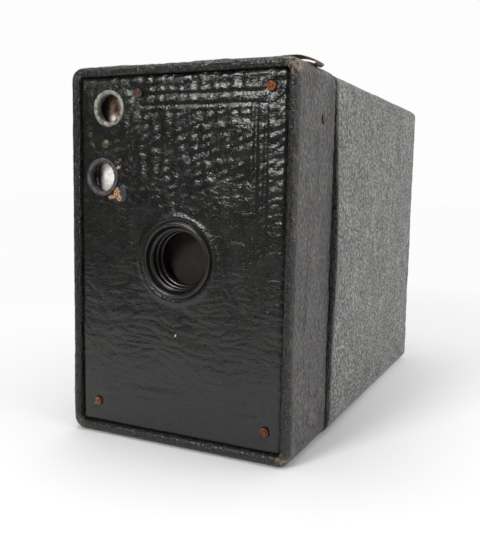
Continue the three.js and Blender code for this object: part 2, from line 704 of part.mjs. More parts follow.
function buildHolder(group) {
  const start = LENS_BOARD_DEPTH + LENS_BOARD_THICKNESS + FIT;
  const levels = { lower: [SPOOL_LOWER_Z, -ROLLER_RISE], upper: [SPOOL_UPPER_Z, ROLLER_RISE] };
  for (const side of ['left', 'right']) {
    const shape = new THREE.Shape(
      rectHole(start, PLATE_END, PLATE_MARGIN, HEIGHT - PLATE_MARGIN).getPoints(),
    );
    for (const [level, [spoolZ, rollerRise]] of Object.entries(levels)) {
      shape.holes.push(
        hole(SPOOL_DEPTH, spoolZ, holeInPlate(level, side), 16),
        hole(ROLLER_DEPTH, CENTRE_Z + rollerRise, ROLLER_AXLE + FIT),
      );
    }
    const from = side === 'right' ? PLATE_X : -PLATE_X - PLATE_THICKNESS;
    place(group, `carrier_plate_${side}`, across(shape, from, from + PLATE_THICKNESS), blackTin);
  }

  const coneRear = GATE_DEPTH - FIT;
  const outer = frustum(start, coneRear, CONE_THICKNESS);
  const inner = frustum(start, coneRear, 0, 1);
  place(group, 'light_cone', cut(outer, [inner]), blackCard);

  const gateHalfWidth = PLATE_X - 0.4;
  const gateHalfHeight = PICTURE_HALF_HEIGHT + 3.8;
  const gate = roundedRect(gateHalfWidth, CENTRE_Z - gateHalfHeight, CENTRE_Z + gateHalfHeight, 1);
  gate.holes.push(rectHole(-PICTURE_HALF_WIDTH, PICTURE_HALF_WIDTH,
    CENTRE_Z - PICTURE_HALF_HEIGHT, CENTRE_Z + PICTURE_HALF_HEIGHT));
  place(group, 'film_gate', through(gate, GATE_DEPTH, GATE_DEPTH + GATE_THICKNESS, 2), blackTin);

  place(group, 'spool_spring_upper_right', spoolSpring(), dullSteel, [0, SPOOL_DEPTH, SPOOL_UPPER_Z]);
  place(group, 'spool_spring_lower_right', spoolSpring(), dullSteel, [0, SPOOL_DEPTH, SPOOL_LOWER_Z]);
  const left = place(group, 'spool_spring_lower_left', spoolSpring(), dullSteel,
    [0, SPOOL_DEPTH, SPOOL_LOWER_Z]);
  left.rotation.x = Math.PI;
  left.rotation.z = Math.PI;
}

// The open pyramid between lens and picture, grown outwards by the card's thickness;
// overrun lengthens it at both ends along the same slopes
function frustum(front, rear, grow, overrun = 0) {
  const geometry = new THREE.BoxGeometry(2, rear - front + 2 * overrun, 2);
  geometry.translate(0, (front + rear) / 2, 0);
  const position = geometry.attributes.position;
  for (let i = 0; i < position.count; i += 1) {
    const share = (position.getY(i) - front) / (rear - front);
    const halfWidth = THREE.MathUtils.lerp(CONE_FRONT_HALF, PICTURE_HALF_WIDTH, share) + grow;
    const halfHeight = THREE.MathUtils.lerp(CONE_FRONT_HALF, PICTURE_HALF_HEIGHT, share) + grow;
    position.setX(i, position.getX(i) * halfWidth);
    position.setZ(i, position.getZ(i) * halfHeight);
  }
  return geometry.translate(0, 0, CENTRE_Z);
}

// A flat spring outside the right-hand plate whose pin enters the end of a spool
function spoolSpring() {
  const inside = PLATE_X + PLATE_THICKNESS + 0.35;
  const strip = new THREE.Shape();
  strip.moveTo(-8, -4);
  strip.lineTo(26, -4);
  strip.absarc(26, 0, 4, -Math.PI / 2, Math.PI / 2, false);
  strip.lineTo(-8, 4);
  strip.absarc(-8, 0, 4, Math.PI / 2, 1.5 * Math.PI, false);
  const pinEnd = SPOOL_LENGTH / 2 - DRIVE_SLOT_DEEP + 0.4;
  return join([
    across(strip, inside, inside + 0.4, 3),
    turnedAcross(rod(PIN_RADIUS, pinEnd, inside + 0.2), 14),
  ]);
}

function buildRollers(group) {
  for (const [level, rise] of Object.entries({ lower: -ROLLER_RISE, upper: ROLLER_RISE })) {
    const half = PLATE_X - 0.4;
    const axleEnd = PLATE_X + PLATE_THICKNESS + 0.3;
    const profile = [
      [0, -axleEnd],
      [ROLLER_AXLE, -axleEnd],
      [ROLLER_AXLE, -half],
      [ROLLER_RADIUS, -half],
      [ROLLER_RADIUS, half],
      [ROLLER_AXLE, half],
      [ROLLER_AXLE, axleEnd],
      [0, axleEnd],
    ];
    place(group, `film_roller_${level}`, turnedAcross(profile, 16), dullSteel,
      [0, ROLLER_DEPTH, CENTRE_Z + rise]);
  }
}

// Spools: a wooden core slotted for the film and for the key, between two tin flanges
function spoolCore() {
  const half = SPOOL_LENGTH / 2;
  const body = turnedAcross(rod(SPOOL_CORE, -half, half), 24);
  const tools = [box(-28, 28, -10, 10, -0.7, 0.7)];
  for (const side of [-1, 1]) {
    const mouth = side * (half + 1);
    const floor = side * (half - DRIVE_SLOT_DEEP);
    const from = Math.min(mouth, floor);
    const to = Math.max(mouth, floor);
    tools.push(
      turnedAcross(rod(PIN_RADIUS + 0.5, from, to), 16),
      box(from, to, -DRIVE_SLOT_WIDTH / 2, DRIVE_SLOT_WIDTH / 2,
        -DRIVE_SLOT_LENGTH / 2, DRIVE_SLOT_LENGTH / 2),
    );
  }
  return cut(body, tools);
}

function buildSpool(group, name, z) {
  const spool = new THREE.Group();
  spool.position.set(0, SPOOL_DEPTH, z);
  group.add(spool);
  place(spool, `${name}_core`, spoolCore(), wood);
  const inner = FILM_WIDTH / 2;
  const flange = ring(SPOOL_CORE + FIT, SPOOL_FLANGE, inner, inner + FLANGE_THICKNESS);
  place(spool, `${name}_flange_right`, turnedAcross(flange, 36), blackTin);
  const mirrored = ring(SPOOL_CORE + FIT, SPOOL_FLANGE, -inner - FLANGE_THICKNESS, -inner);
  place(spool, `${name}_flange_left`, turnedAcross(mirrored, 36), blackTin);
}

// Winding key: a winged stem in a collar that turns with it, its blade in the take-up core
function buildKey(group) {
  const key = new THREE.Group();
  key.position.set(0, SPOOL_DEPTH, SPOOL_UPPER_Z);
  group.add(key);

  const plateOuter = PLATE_X + PLATE_THICKNESS;
  const bore = KEY_STEM + FIT;
  const collar = [
    [bore, -plateOuter - 0.9],
    [bore + 2.3, -plateOuter - 0.9],
    [bore + 2.3, -plateOuter - 0.3],
    [bore + 1.1, -plateOuter - 0.3],
    [bore + 1.1, -PLATE_X + 0.1],
    [bore, -PLATE_X + 0.1],
    [bore, -plateOuter - 0.9],
  ];
  place(key, 'key_collar', turnedAcross(collar, 24), brass);

  const stemInner = -SPOOL_LENGTH / 2 - 0.3;
  const bladeInner = -SPOOL_LENGTH / 2 + DRIVE_SLOT_DEEP - 0.5;
  const middle = -(KEY_WING_INNER + KEY_WING_OUTER) / 2;
  const halfLength = (KEY_WING_OUTER - KEY_WING_INNER) / 2;
  const wing = new THREE.Shape();
  wing.absellipse(middle, 0, halfLength, KEY_WING_HALF, 0, 2 * Math.PI, false);
  wing.holes.push(hole(middle - 1, 6, 2, 12), hole(middle - 1, -6, 2, 12));
  const winding = join([
    turnedAcross(rod(KEY_STEM, -KEY_WING_INNER - 2.5, stemInner), 20),
    box(stemInner - 0.5, bladeInner, -0.5, 0.5, -2.3, 2.3),
    through(wing, -0.8, 0.8, 14),
  ]);
  place(key, 'winding_key', winding, wornNickel);
}

// Carrying strap: leather laid across the top, each end folded under and riveted
function buildStrap(group) {
  const right = [
    [0, 1.7],
    [14, 1.95],
    [26, 2.4],
    [33.2, 2.6],
    [35.6, 2.4],
    [37.6, 1.85],
    [39.3, 1.2],
    [40.3, 0.72],
    [40.9, 0.15],
    [40.3, -0.3],
    [39.2, -0.05],
    [38, 0.28],
    [36.4, 0.45],
    [30.5, 0.45],
  ];
  const left = right.slice(1).reverse().map(([x, rise]) => [-x, rise]);
  const route = new THREE.CatmullRomCurve3(
    [...left, ...right].map(([x, rise]) => new THREE.Vector3(x, HEIGHT + rise, 0)),
  );
  const samples = 120;
  const above = [];
  const below = [];
  for (let i = 0; i <= samples; i += 1) {
    const point = route.getPointAt(i / samples);
    const along = route.getTangentAt(i / samples);
    const offset = new THREE.Vector2(-along.y, along.x).multiplyScalar(STRAP_THICKNESS / 2);
    above.push(new THREE.Vector2(point.x + offset.x, point.y + offset.y));
    below.push(new THREE.Vector2(point.x - offset.x, point.y - offset.y));
  }
  const outline = new THREE.Shape([...below, ...above.reverse()]);
  const front = STRAP_DEPTH - STRAP_WIDTH / 2;
  const rivets = { left: -STRAP_RIVET_X, right: STRAP_RIVET_X };
  const drills = Object.values(rivets).map((x) =>
    turnedUpright(rod(TACK_SHANK + FIT, HEIGHT - 1, HEIGHT + 2), 10).translate(x, STRAP_DEPTH, 0));
  const strap = cut(through(outline, front, front + STRAP_WIDTH), drills);
  place(group, 'strap', strap, strapLeather);
  for (const [side, x] of Object.entries(rivets)) {
    const head = domedNail(1.6, 0.5, FRAME_WALL + 1).rotateX(-Math.PI / 2);
    place(group, `strap_rivet_${side}`, head, brass, [x, STRAP_DEPTH, HEIGHT + 0.8]);
  }
}

// Rear shell: a covered box open at the front, with a red window in its back
function buildShell(group) {
  const mouth = FRONT_DEPTH + SEAM_GAP;
  const top = HEIGHT - SHELL_DROP;
  const { body, waste } = easedBlock(0, top, SHELL_CORNER, mouth, DEPTH, 'rear');
  const cavity = roundedRect(WIDTH / 2 - SHELL_WALL, SHELL_WALL, top - SHELL_WALL, 1.2);
  const notch = KEY_STEM + 0.6;
  const shell = cut(body, [
    waste,
    through(cavity, mouth - 5, DEPTH - SHELL_WALL),
    box(-WIDTH, -WIDTH / 2 + SHELL_WALL + 1, mouth - 5, SPOOL_DEPTH + notch,
      SPOOL_UPPER_Z - notch, SPOOL_UPPER_Z + notch),
    turned(rod(WINDOW_RADIUS + 0.6, DEPTH - 10, DEPTH + 10), 28).translate(0, 0, WINDOW_Z),
  ]);
  place(group, 'rear_shell', shell, leatherette);
  const inner = DEPTH - SHELL_WALL;
  const eyelet = [
    [WINDOW_RADIUS, inner],
    [WINDOW_RADIUS + FIT, inner],
    [WINDOW_RADIUS + FIT, DEPTH + 0.05],
    [WINDOW_RADIUS + 3, DEPTH + 0.05],
    [WINDOW_RADIUS + 3, DEPTH + 0.4],
    [WINDOW_RADIUS, DEPTH + 0.4],
    [WINDOW_RADIUS, inner],
  ];
  place(group, 'ruby_window_ring', turned(eyelet, 28), blackTin, [0, 0, WINDOW_Z]);
  place(group, 'ruby_window', turned(rod(WINDOW_RADIUS + 2, inner - 1.1, inner - 0.2), 28), ruby,
    [0, 0, WINDOW_Z]);
}

const frontSection = new THREE.Group();
const filmHolder = new THREE.Group();
const rearSection = new THREE.Group();
assembly.add(frontSection, filmHolder, rearSection);

buildFrame(frontSection);
buildPanel(frontSection);
buildHood(frontSection);
buildTopFinder(frontSection);
buildSideFinder(frontSection);
buildShutter(frontSection);
buildSlides(frontSection);
buildLens(frontSection);
buildSleeve(frontSection);
buildStrap(frontSection);
buildHolder(filmHolder);
buildRollers(filmHolder);
buildSpool(filmHolder, 'take_up_spool', SPOOL_UPPER_Z);
buildSpool(filmHolder, 'supply_spool', SPOOL_LOWER_Z);
buildKey(filmHolder);
buildShell(rearSection);

export default camera;
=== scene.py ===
"""Looks of the box camera: leatherette covering, embossed front panel, metalwork, glass and strap."""

import math

import bmesh
import bpy
import numpy as np
from mathutils import Matrix, Vector


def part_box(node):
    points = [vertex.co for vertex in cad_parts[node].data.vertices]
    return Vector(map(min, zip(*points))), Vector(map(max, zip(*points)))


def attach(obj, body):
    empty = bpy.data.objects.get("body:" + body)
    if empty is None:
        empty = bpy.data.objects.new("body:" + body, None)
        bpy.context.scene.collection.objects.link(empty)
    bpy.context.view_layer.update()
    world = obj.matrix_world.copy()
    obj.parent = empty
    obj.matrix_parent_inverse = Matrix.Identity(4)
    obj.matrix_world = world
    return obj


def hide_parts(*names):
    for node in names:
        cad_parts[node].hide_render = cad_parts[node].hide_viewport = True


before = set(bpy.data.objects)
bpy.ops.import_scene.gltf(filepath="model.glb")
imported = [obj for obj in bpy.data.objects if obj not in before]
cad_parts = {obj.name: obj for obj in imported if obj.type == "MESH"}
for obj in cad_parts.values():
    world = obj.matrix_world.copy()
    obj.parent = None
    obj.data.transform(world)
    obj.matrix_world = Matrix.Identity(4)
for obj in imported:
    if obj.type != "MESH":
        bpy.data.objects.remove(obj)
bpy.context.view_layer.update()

MM = 0.001


# ---------------------------------------------------------------- places, in millimetres
def corners(node):
    """The low and high corners of a CAD node's box, in millimetres."""
    return [np.array(corner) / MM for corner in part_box(node)]


def middle(node):
    return sum(corners(node)) / 2


def size(node):
    low, high = corners(node)
    return high - low


front_low, front_high = corners("front_frame")
shell_low, shell_high = corners("rear_shell")
panel_low, panel_high = corners("front_panel")

WIDTH = front_high[0] - front_low[0]
HEIGHT = front_high[2] - front_low[2]
HALF = WIDTH / 2
FACE_Y = front_low[1]
FRONT_REAR_Y = front_high[1]
CENTRE_Z = HEIGHT / 2
PANEL_Y = panel_low[1]
SHELL_MOUTH_Y = shell_low[1]
SHELL_REAR_Y = shell_high[1]
SHELL_TOP = shell_high[2]
SHELL_WALL = 2.4
FRAME_WALL = 2.6
RIM = 3.3  # width of the frame's front face round the panel
RIGHT_BOW, LEFT_BOW = 1.9, 0.9  # how far the shell's side walls belly out at the mouth
CRINKLE = 0.2  # depth of the folds in the rim's covering

PANEL_STEP = 0.45  # spacing of the panel's grid of points
PEBBLE, RIPPLE, FLAT_RIPPLE = 0.26, 0.11, 0.1  # relief heights, top, middle and bottom of the panel
LINE_INNER, LINE_OUTER = 27.6, 31.0  # embossed lines, out from the middle
LINE_TOP, LINE_BOTTOM = 116.1, 13.9
LINE_DEPTH, LINE_LIP = 0.21, 0.11

TACK_RADIUS, TACK_RISE = 1.8, 0.68
PIN_RADIUS, PIN_RISE = 1.5, 0.5
SHANK_RADIUS, SHANK_LENGTH = 0.6, 2.4
NAIL_INSET = 0.22
STRAP_HALF_THICKNESS = 0.26
LENS_MM = 47.28
FLOOR_EDGE = -0.25  # metres: where the lit sheet ends in front of the object

HOOD = middle("lens_hood")
TOP_EYE = middle("top_finder_eyelet")
SIDE_EYE = middle("side_finder_eyelet")


# ---------------------------------------------------------------- numbers that vary over a surface
def smoothstep(low, high, value):
    t = np.clip((value - low) / (high - low), 0, 1)
    return t * t * (3 - 2 * t)


class Field:
    """A smooth random height field: many plane waves near one wavelength in each direction."""

    def __init__(self, wavelengths, seed, waves=26):
        source = np.random.default_rng(seed)
        angle = source.uniform(0, 2 * math.pi, waves)
        spread = source.uniform(0.55, 1.5, waves)
        turns = np.stack([np.cos(angle), np.sin(angle)], 1) * spread[:, None]
        self.wave = 2 * math.pi * turns / np.array(wavelengths)[None, :]
        self.phase = source.uniform(0, 2 * math.pi, waves)
        self.scale = math.sqrt(2 / waves)

    def __call__(self, u, v):
        total = np.zeros_like(u, dtype=float)
        for (ku, kv), phase in zip(self.wave, self.phase):
            total += np.cos(ku * u + kv * v + phase)
        return total * self.scale


def hump(distance, width):
    return np.exp(-((distance / width) ** 2))


# ---------------------------------------------------------------- meshes
def make_object(name, vertices_mm, faces, material, body, replaces=(), attributes=None):
    """A mesh object from vertices in millimetres, riding on a body."""
    mesh = bpy.data.meshes.new(name)
    mesh.from_pydata((np.asarray(vertices_mm) * MM).tolist(), [], faces)
    for key, values in (attributes or {}).items():
        mark(mesh, key, values)
    mesh.validate()
    mesh.polygons.foreach_set("use_smooth", [True] * len(mesh.polygons))
    mesh.materials.append(material)
    piece = bpy.data.objects.new(name, mesh)
    bpy.context.scene.collection.objects.link(piece)
    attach(piece, body)
    if replaces:
        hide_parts(*replaces)
    return piece


def mark(mesh, key, values):
    """Stores one number at each vertex for a material to read."""
    layer = mesh.attributes.new(key, "FLOAT", "POINT")
    layer.data.foreach_set("value", np.asarray(values, dtype=np.float32))


def loop_faces(ring_count, point_count, closed):
    """Quads between successive rings of points; closed joins the last ring to the first."""
    faces = []
    last = ring_count if closed else ring_count - 1
    for i in range(last):
        a = i * point_count
        b = ((i + 1) % ring_count) * point_count
        for j in range(point_count):
            k = (j + 1) % point_count
            faces.append((a + j, a + k, b + k, b + j))
    return faces


def rounded_loop(half_width, bottom, top, radius, y, across=72, up=108, corner=8):
    """Points round a rounded rectangle in the plane at y, starting at the bottom left."""
    radius = max(radius, 0.05)
    left, right = -half_width + radius, half_width - radius
    low, high = bottom + radius, top - radius
    points = []

    def side(x0, z0, x1, z1, count):
        for t in np.arange(count) / count:
            points.append((x0 + (x1 - x0) * t, z0 + (z1 - z0) * t))

    def bend(cx, cz, start):
        for t in np.arange(corner) / corner:
            angle = start + t * math.pi / 2
            points.append((cx + radius * math.cos(angle), cz + radius * math.sin(angle)))

    side(left, bottom, right, bottom, across)
    bend(right, low, -math.pi / 2)
    side(half_width, low, half_width, high, up)
    bend(right, high, 0)
    side(right, top, left, top, across)
    bend(left, high, math.pi / 2)
    side(-half_width, high, -half_width, low, up)
    bend(left, low, math.pi)
    flat = np.array(points)
    return np.stack([flat[:, 0], np.full(len(flat), y), flat[:, 1]], 1)


def turned(name, profile, centre, axis, material, body, replaces, segments, rough):
    """A turned piece. profile: closed outline of (radius, distance along the axis), in millimetres."""
    profile = np.array(profile, float)
    angle = np.arange(segments) * 2 * math.pi / segments
    rings = []
    for radius, along in profile:
        circle = np.stack([radius * np.cos(angle), np.full(segments, along), radius * np.sin(angle)], 1)
        rings.append(circle)
    vertices = np.concatenate(rings)
    if rough:
        vertices = rough(vertices)
    if axis == "x":
        vertices = vertices[:, [1, 0, 2]] * np.array([1, 1, -1])
    faces = loop_faces(len(profile), segments, closed=True)
    piece = make_object(name, vertices + np.array(centre), faces, material, body, replaces)
    weld(piece.data)
    return piece


def turned_facing(name, node, profile, material, segments, rough=None):
    """A turned piece in place of a front node, its axis running from front to back."""
    x, _, z = middle(node)
    return turned(name, profile, (x, 0, z), "y", material, "front_section", [node], segments, rough)


def weld(mesh, distance=1e-6):
    """Joins doubled points, drops what has no area and turns the faces outward."""
    work = bmesh.new()
    work.from_mesh(mesh)
    bmesh.ops.remove_doubles(work, verts=work.verts, dist=distance)
    bmesh.ops.dissolve_degenerate(work, edges=work.edges, dist=1e-8)
    bmesh.ops.recalc_face_normals(work, faces=work.faces)
    for face in work.faces:
        face.smooth = True
    work.to_mesh(mesh)
    work.free()


def sharpen(mesh, degrees=35):
    mesh.set_sharp_from_angle(angle=math.radians(degrees))


def arc(cx, cy, radius, start, end, steps):
    """Points on an arc, angles in degrees."""
    angles = np.radians(np.linspace(start, end, steps + 1))
    return [(cx + radius * math.cos(a), cy + radius * math.sin(a)) for a in angles]


def cut_boxes(piece, boxes):
    """Cuts boxes (low corner, high corner, in millimetres) out of a piece."""
    cutter_mesh = bpy.data.meshes.new("cutter")
    work = bmesh.new()
    for low, high in boxes:
        low, high = np.array(low) * MM, np.array(high) * MM
        place = Matrix.Translation(Vector((low + high) / 2)) @ Matrix.Diagonal((*(high - low), 1))
        bmesh.ops.create_cube(work, size=1, matrix=place)
    work.to_mesh(cutter_mesh)
    work.free()
    cutter = bpy.data.objects.new("cutter", cutter_mesh)
    bpy.context.scene.collection.objects.link(cutter)
    change = piece.modifiers.new("cut", "BOOLEAN")
    change.operation = "DIFFERENCE"
    change.solver = "EXACT"
    change.object = cutter
    bpy.context.view_layer.update()
    graph = bpy.context.evaluated_depsgraph_get()
    result = bpy.data.meshes.new_from_object(piece.evaluated_get(graph))
    piece.modifiers.clear()
    old = piece.data
    piece.data = result
    bpy.data.meshes.remove(old)
    bpy.data.objects.remove(cutter)
    bpy.data.meshes.remove(cutter_mesh)
    sharpen(piece.data, 40)


# ---------------------------------------------------------------- materials
def settle(node, **values):
    """Sets a node's inputs; an underscore in a name stands for a space."""
    for key, value in values.items():
        node.inputs[key.replace("_", " ")].default_value = value
    return node


class Shade:
    """Short calls for building one node material."""

    def __init__(self, name):
        self.material = bpy.data.materials.new(name)
        self.material.use_nodes = True
        self.nodes = self.material.node_tree.nodes
        self.links = self.material.node_tree.links
        self.surface = self.nodes["Principled BSDF"]
        self.place = self.nodes.new("ShaderNodeTexCoord").outputs["Object"]

    def put(self, socket, value):
        if isinstance(value, bpy.types.NodeSocket):
            self.links.new(value, socket)
        elif value is not None:
            socket.default_value = value

    def stretch(self, scale):
        node = settle(self.nodes.new("ShaderNodeMapping"), Scale=scale)
        self.links.new(self.place, node.inputs["Vector"])
        return node.outputs["Vector"]

    def noise(self, scale, detail=3, rough=0.55, vector=None, distortion=0.0):
        node = settle(self.nodes.new("ShaderNodeTexNoise"), Scale=scale, Detail=detail, Roughness=rough,
                      Distortion=distortion)
        self.put(node.inputs["Vector"], vector or self.place)
        return node.outputs["Fac"]

    def cells(self, scale, vector=None, feature="F1"):
        node = settle(self.nodes.new("ShaderNodeTexVoronoi"), Scale=scale)
        node.feature = feature
        self.put(node.inputs["Vector"], vector or self.place)
        return node.outputs["Distance"]

    def attribute(self, name):
        node = self.nodes.new("ShaderNodeAttribute")
        node.attribute_name = name
        return node.outputs["Fac"]

    def ramp(self, value, *stops):
        node = self.nodes.new("ShaderNodeValToRGB")
        self.put(node.inputs["Fac"], value)
        ladder = node.color_ramp.elements
        while len(ladder) < len(stops):
            ladder.new(0.5)
        for element, (position, colour) in zip(ladder, stops):
            element.position = position
            element.color = (colour,) * 3 + (1,) if isinstance(colour, (int, float)) else (*colour, 1)
        return node.outputs["Color"]

    def sum(self, operation, a, b=None, c=None):
        node = self.nodes.new("ShaderNodeMath")
        node.operation = operation
        for socket, value in zip(node.inputs, (a, b, c)):
            self.put(socket, value)
        return node.outputs["Value"]

    def mix(self, share, a, b):
        node = self.nodes.new("ShaderNodeMix")
        node.data_type = "RGBA"
        self.put(node.inputs["Factor"], share)
        for socket, value in ((node.inputs["A"], a), (node.inputs["B"], b)):
            self.put(socket, (*value, 1) if isinstance(value, tuple) and len(value) == 3 else value)
        return node.outputs["Result"]

    def bump(self, height, depth_mm):
        node = settle(self.nodes.new("ShaderNodeBump"), Strength=1.0, Distance=depth_mm * MM)
        self.put(node.inputs["Height"], height)
        return node.outputs["Normal"]

    def finish(self, colour, roughness, normal=None, **values):
        self.put(self.surface.inputs["Base Color"], (*colour, 1) if isinstance(colour, tuple) else colour)
        self.put(self.surface.inputs["Roughness"], roughness)
        self.put(self.surface.inputs["Normal"], normal)
        for key, value in values.items():
            self.put(self.surface.inputs[key.replace("_", " ")], value)
        return self.material


def case_covering(name, low, high, stretch, streaks):
    """Fine pebbled leatherette, brown where the edges are rubbed through. Its raised grain is grey partly
    from wear and partly as painted sheen; its pits, crease lines and the faces marked rim are darkened as
    painted shade.
    """
    s = Shade(name)
    # The grain is short and upright, as the covering was wrapped round the case
    upright = s.stretch((1.0, 0.78, stretch))
    worms = s.noise(1500, 1.0, 0.4, upright, 0.3)
    fine = s.noise(2300, 3, 0.6, upright)
    broad = s.noise(48, 4, 0.6)
    streak = s.noise(300, 3, 0.55, s.stretch((1.0, 1.0, 0.1)))
    # Painted shade: the pits between the raised grain take a darker colour than the raised tops.
    raised = s.ramp(s.sum("MULTIPLY_ADD", fine, 0.12, worms), (0.46, 0.0), (0.62, 1.0))
    tone = s.mix(raised, tuple(0.6 * c for c in low), high)
    # Painted shade: the grain's crease lines are darkened further.
    crease_shade = s.noise(1400, 1.5, 0.5, s.stretch((1.0, 0.8, 0.42)))
    tone = s.mix(s.ramp(crease_shade, (0.53, 0.0), (0.61, 0.75)), tone, tuple(0.4 * c for c in low))
    tone = s.mix(s.ramp(broad, (0.4, 0.0), (0.7, 0.35)), tone, low)
    tone = s.mix(s.ramp(streak, (0.52, 0.0), (0.66, streaks)), tone, tuple(0.4 * c for c in low))
    # Painted shade: faces marked rim, the frame's front face and the shell's mouth edge in the seam, are
    # darkened nearly to black.
    front = s.attribute("rim")
    tone = s.mix(s.sum("MULTIPLY", front, 0.86), tone, (0.009, 0.008, 0.007))
    rubbed = s.sum("MULTIPLY", s.attribute("wear"), s.ramp(s.noise(900, 4, 0.75), (0.38, 0.1), (0.62, 1.0)))
    brown = s.mix(s.noise(1200, 3), (0.07, 0.045, 0.028), (0.36, 0.29, 0.17))
    tone = s.mix(s.ramp(rubbed, (0.22, 0.0), (0.6, 1.0)), tone, brown)
    height = s.sum("MULTIPLY_ADD", fine, 0.35, raised)
    roughness = s.ramp(s.noise(120, 3), (0.3, 0.4), (0.7, 0.56))
    roughness = s.mix(front, roughness, (0.3, 0.3, 0.3))
    return s.finish(tone, roughness, s.bump(height, 0.42), Specular_IOR_Level=0.55)


def panel_covering():
    """Glossy black embossed leatherette with a torn patch that shows its tan backing."""
    s = Shade("panel_covering")
    flat = s.stretch((0.8, 1.0, 1.15))
    grain = s.cells(1500, flat, "SMOOTH_F1")
    fine = s.noise(3000, 3, 0.6, flat)
    dust = s.noise(90, 4, 0.65)
    ragged = s.noise(1500, 4, 0.7)
    tone = s.mix(s.ramp(dust, (0.4, 0.0), (0.75, 0.6)), (0.0045, 0.0048, 0.004), (0.011, 0.011, 0.0092))
    tear = s.sum("MULTIPLY_ADD", ragged, 0.7, s.sum("SUBTRACT", s.attribute("tear"), 0.35))
    torn = s.ramp(tear, (0.46, 0.0), (0.54, 1.0))
    smooth = s.sum("MULTIPLY_ADD", ragged, 0.5, s.sum("SUBTRACT", s.attribute("bare"), 0.25))
    tone = s.mix(s.ramp(smooth, (0.46, 0.0), (0.6, 1.0)), tone, (0.035, 0.045, 0.05))
    backing = s.mix(s.ramp(s.noise(1900, 4), (0.4, 0.0), (0.6, 1.0)), (0.16, 0.06, 0.02), (0.6, 0.36, 0.19))
    tone = s.mix(torn, tone, backing)
    tone = s.mix(s.ramp(s.attribute("speck"), (0.45, 0.0), (0.6, 1.0)), tone, (0.62, 0.58, 0.45))
    height = s.sum("MULTIPLY_ADD", fine, 0.4, s.sum("MULTIPLY", grain, -0.8))
    roughness = s.ramp(s.noise(160, 4, 0.65), (0.3, 0.22), (0.72, 0.34))
    roughness = s.mix(torn, roughness, (0.85, 0.85, 0.85))
    return s.finish(tone, roughness, s.bump(height, 0.11), Specular_IOR_Level=0.55)


def metal(name, colour, stain, roughness=(0.3, 0.55), metallic=0.9, scale=420, wear_mm=0.03):
    """Worn metal: fine scratches, stains and dull patches."""
    s = Shade(name)
    patches = s.noise(scale, 5, 0.65)
    scratch = s.noise(900, 3, 0.6, s.stretch((6.0, 6.0, 0.6)))
    tone = s.mix(s.ramp(patches, (0.36, 0.0), (0.68, 1.0)), colour, stain)
    rough = s.ramp(s.noise(scale * 0.6, 4), (0.3, roughness[0]), (0.7, roughness[1]))
    height = s.sum("MULTIPLY_ADD", scratch, 0.5, patches)
    return s.finish(tone, rough, s.bump(height, wear_mm), Metallic=metallic)


def rusted(name, dark, light):
    """Tack heads: orange-brown rust, pitted and powdery, with black in the pits."""
    s = Shade(name)
    spots = s.noise(1300, 5, 0.75)
    pits = s.cells(1700)
    tone = s.ramp(spots, (0.36, dark), (0.52, tuple(0.45 * c for c in light)), (0.68, light))
    tone = s.mix(s.ramp(pits, (0.12, 0.9), (0.4, 0.0)), tone, (0.012, 0.006, 0.004))
    height = s.sum("MULTIPLY_ADD", pits, 0.8, spots)
    return s.finish(tone, s.ramp(spots, (0.3, 0.42), (0.7, 0.85)), s.bump(height, 0.25), Metallic=0.1)


def card():
    """Matt black card with a faint fibre."""
    s = Shade("black_card")
    fibre = s.noise(1500, 4, 0.6, s.stretch((1.0, 0.25, 1.0)))
    tone = s.mix(s.noise(60, 3), (0.012, 0.011, 0.0105), (0.03, 0.027, 0.024))
    return s.finish(tone, s.ramp(fibre, (0.3, 0.7), (0.7, 0.92)), s.bump(fibre, 0.05))


def timber():
    """Close-grained wood, darkened with handling."""
    s = Shade("wood")
    grain = s.noise(420, 4, 0.6, s.stretch((0.1, 1.0, 1.0)), 0.8)
    rings = s.noise(90, 3, 0.5, s.stretch((0.06, 1.0, 1.0)), 1.5)
    tone = s.ramp(grain, (0.3, (0.13, 0.068, 0.03)), (0.7, (0.34, 0.2, 0.1)))
    tone = s.mix(s.ramp(rings, (0.45, 0.0), (0.6, 0.4)), tone, (0.1, 0.05, 0.022))
    return s.finish(tone, s.ramp(grain, (0.3, 0.5), (0.7, 0.72)), s.bump(grain, 0.08))


def leather():
    """Thin maroon-brown strap leather, cracked, and worn lighter along its edges."""
    s = Shade("strap_leather")
    pores = s.cells(1300, s.stretch((0.8, 1.0, 1.0)), "SMOOTH_F1")
    cracks = s.noise(500, 4, 0.65, s.stretch((2.4, 0.5, 1.0)))
    tone = s.mix(s.noise(240, 4, 0.6), (0.022, 0.01, 0.0085), (0.07, 0.03, 0.025))
    tone = s.mix(s.ramp(cracks, (0.56, 0.0), (0.72, 0.8)), tone, (0.12, 0.062, 0.045))
    tone = s.mix(s.ramp(s.attribute("wear"), (0.3, 0.0), (0.8, 0.7)), tone, (0.16, 0.09, 0.06))
    height = s.sum("MULTIPLY_ADD", cracks, -0.7, s.sum("MULTIPLY", pores, -0.5))
    return s.finish(tone, s.ramp(cracks, (0.3, 0.4), (0.7, 0.66)), s.bump(height, 0.09))


def clear_glass():
    """Old clear glass, slightly dusty."""
    s = Shade("clear_glass")
    dust = s.noise(380, 5, 0.7)
    return s.finish((0.93, 0.95, 0.93), s.ramp(dust, (0.35, 0.03), (0.75, 0.22)),
                    Transmission_Weight=0.92, IOR=1.5)


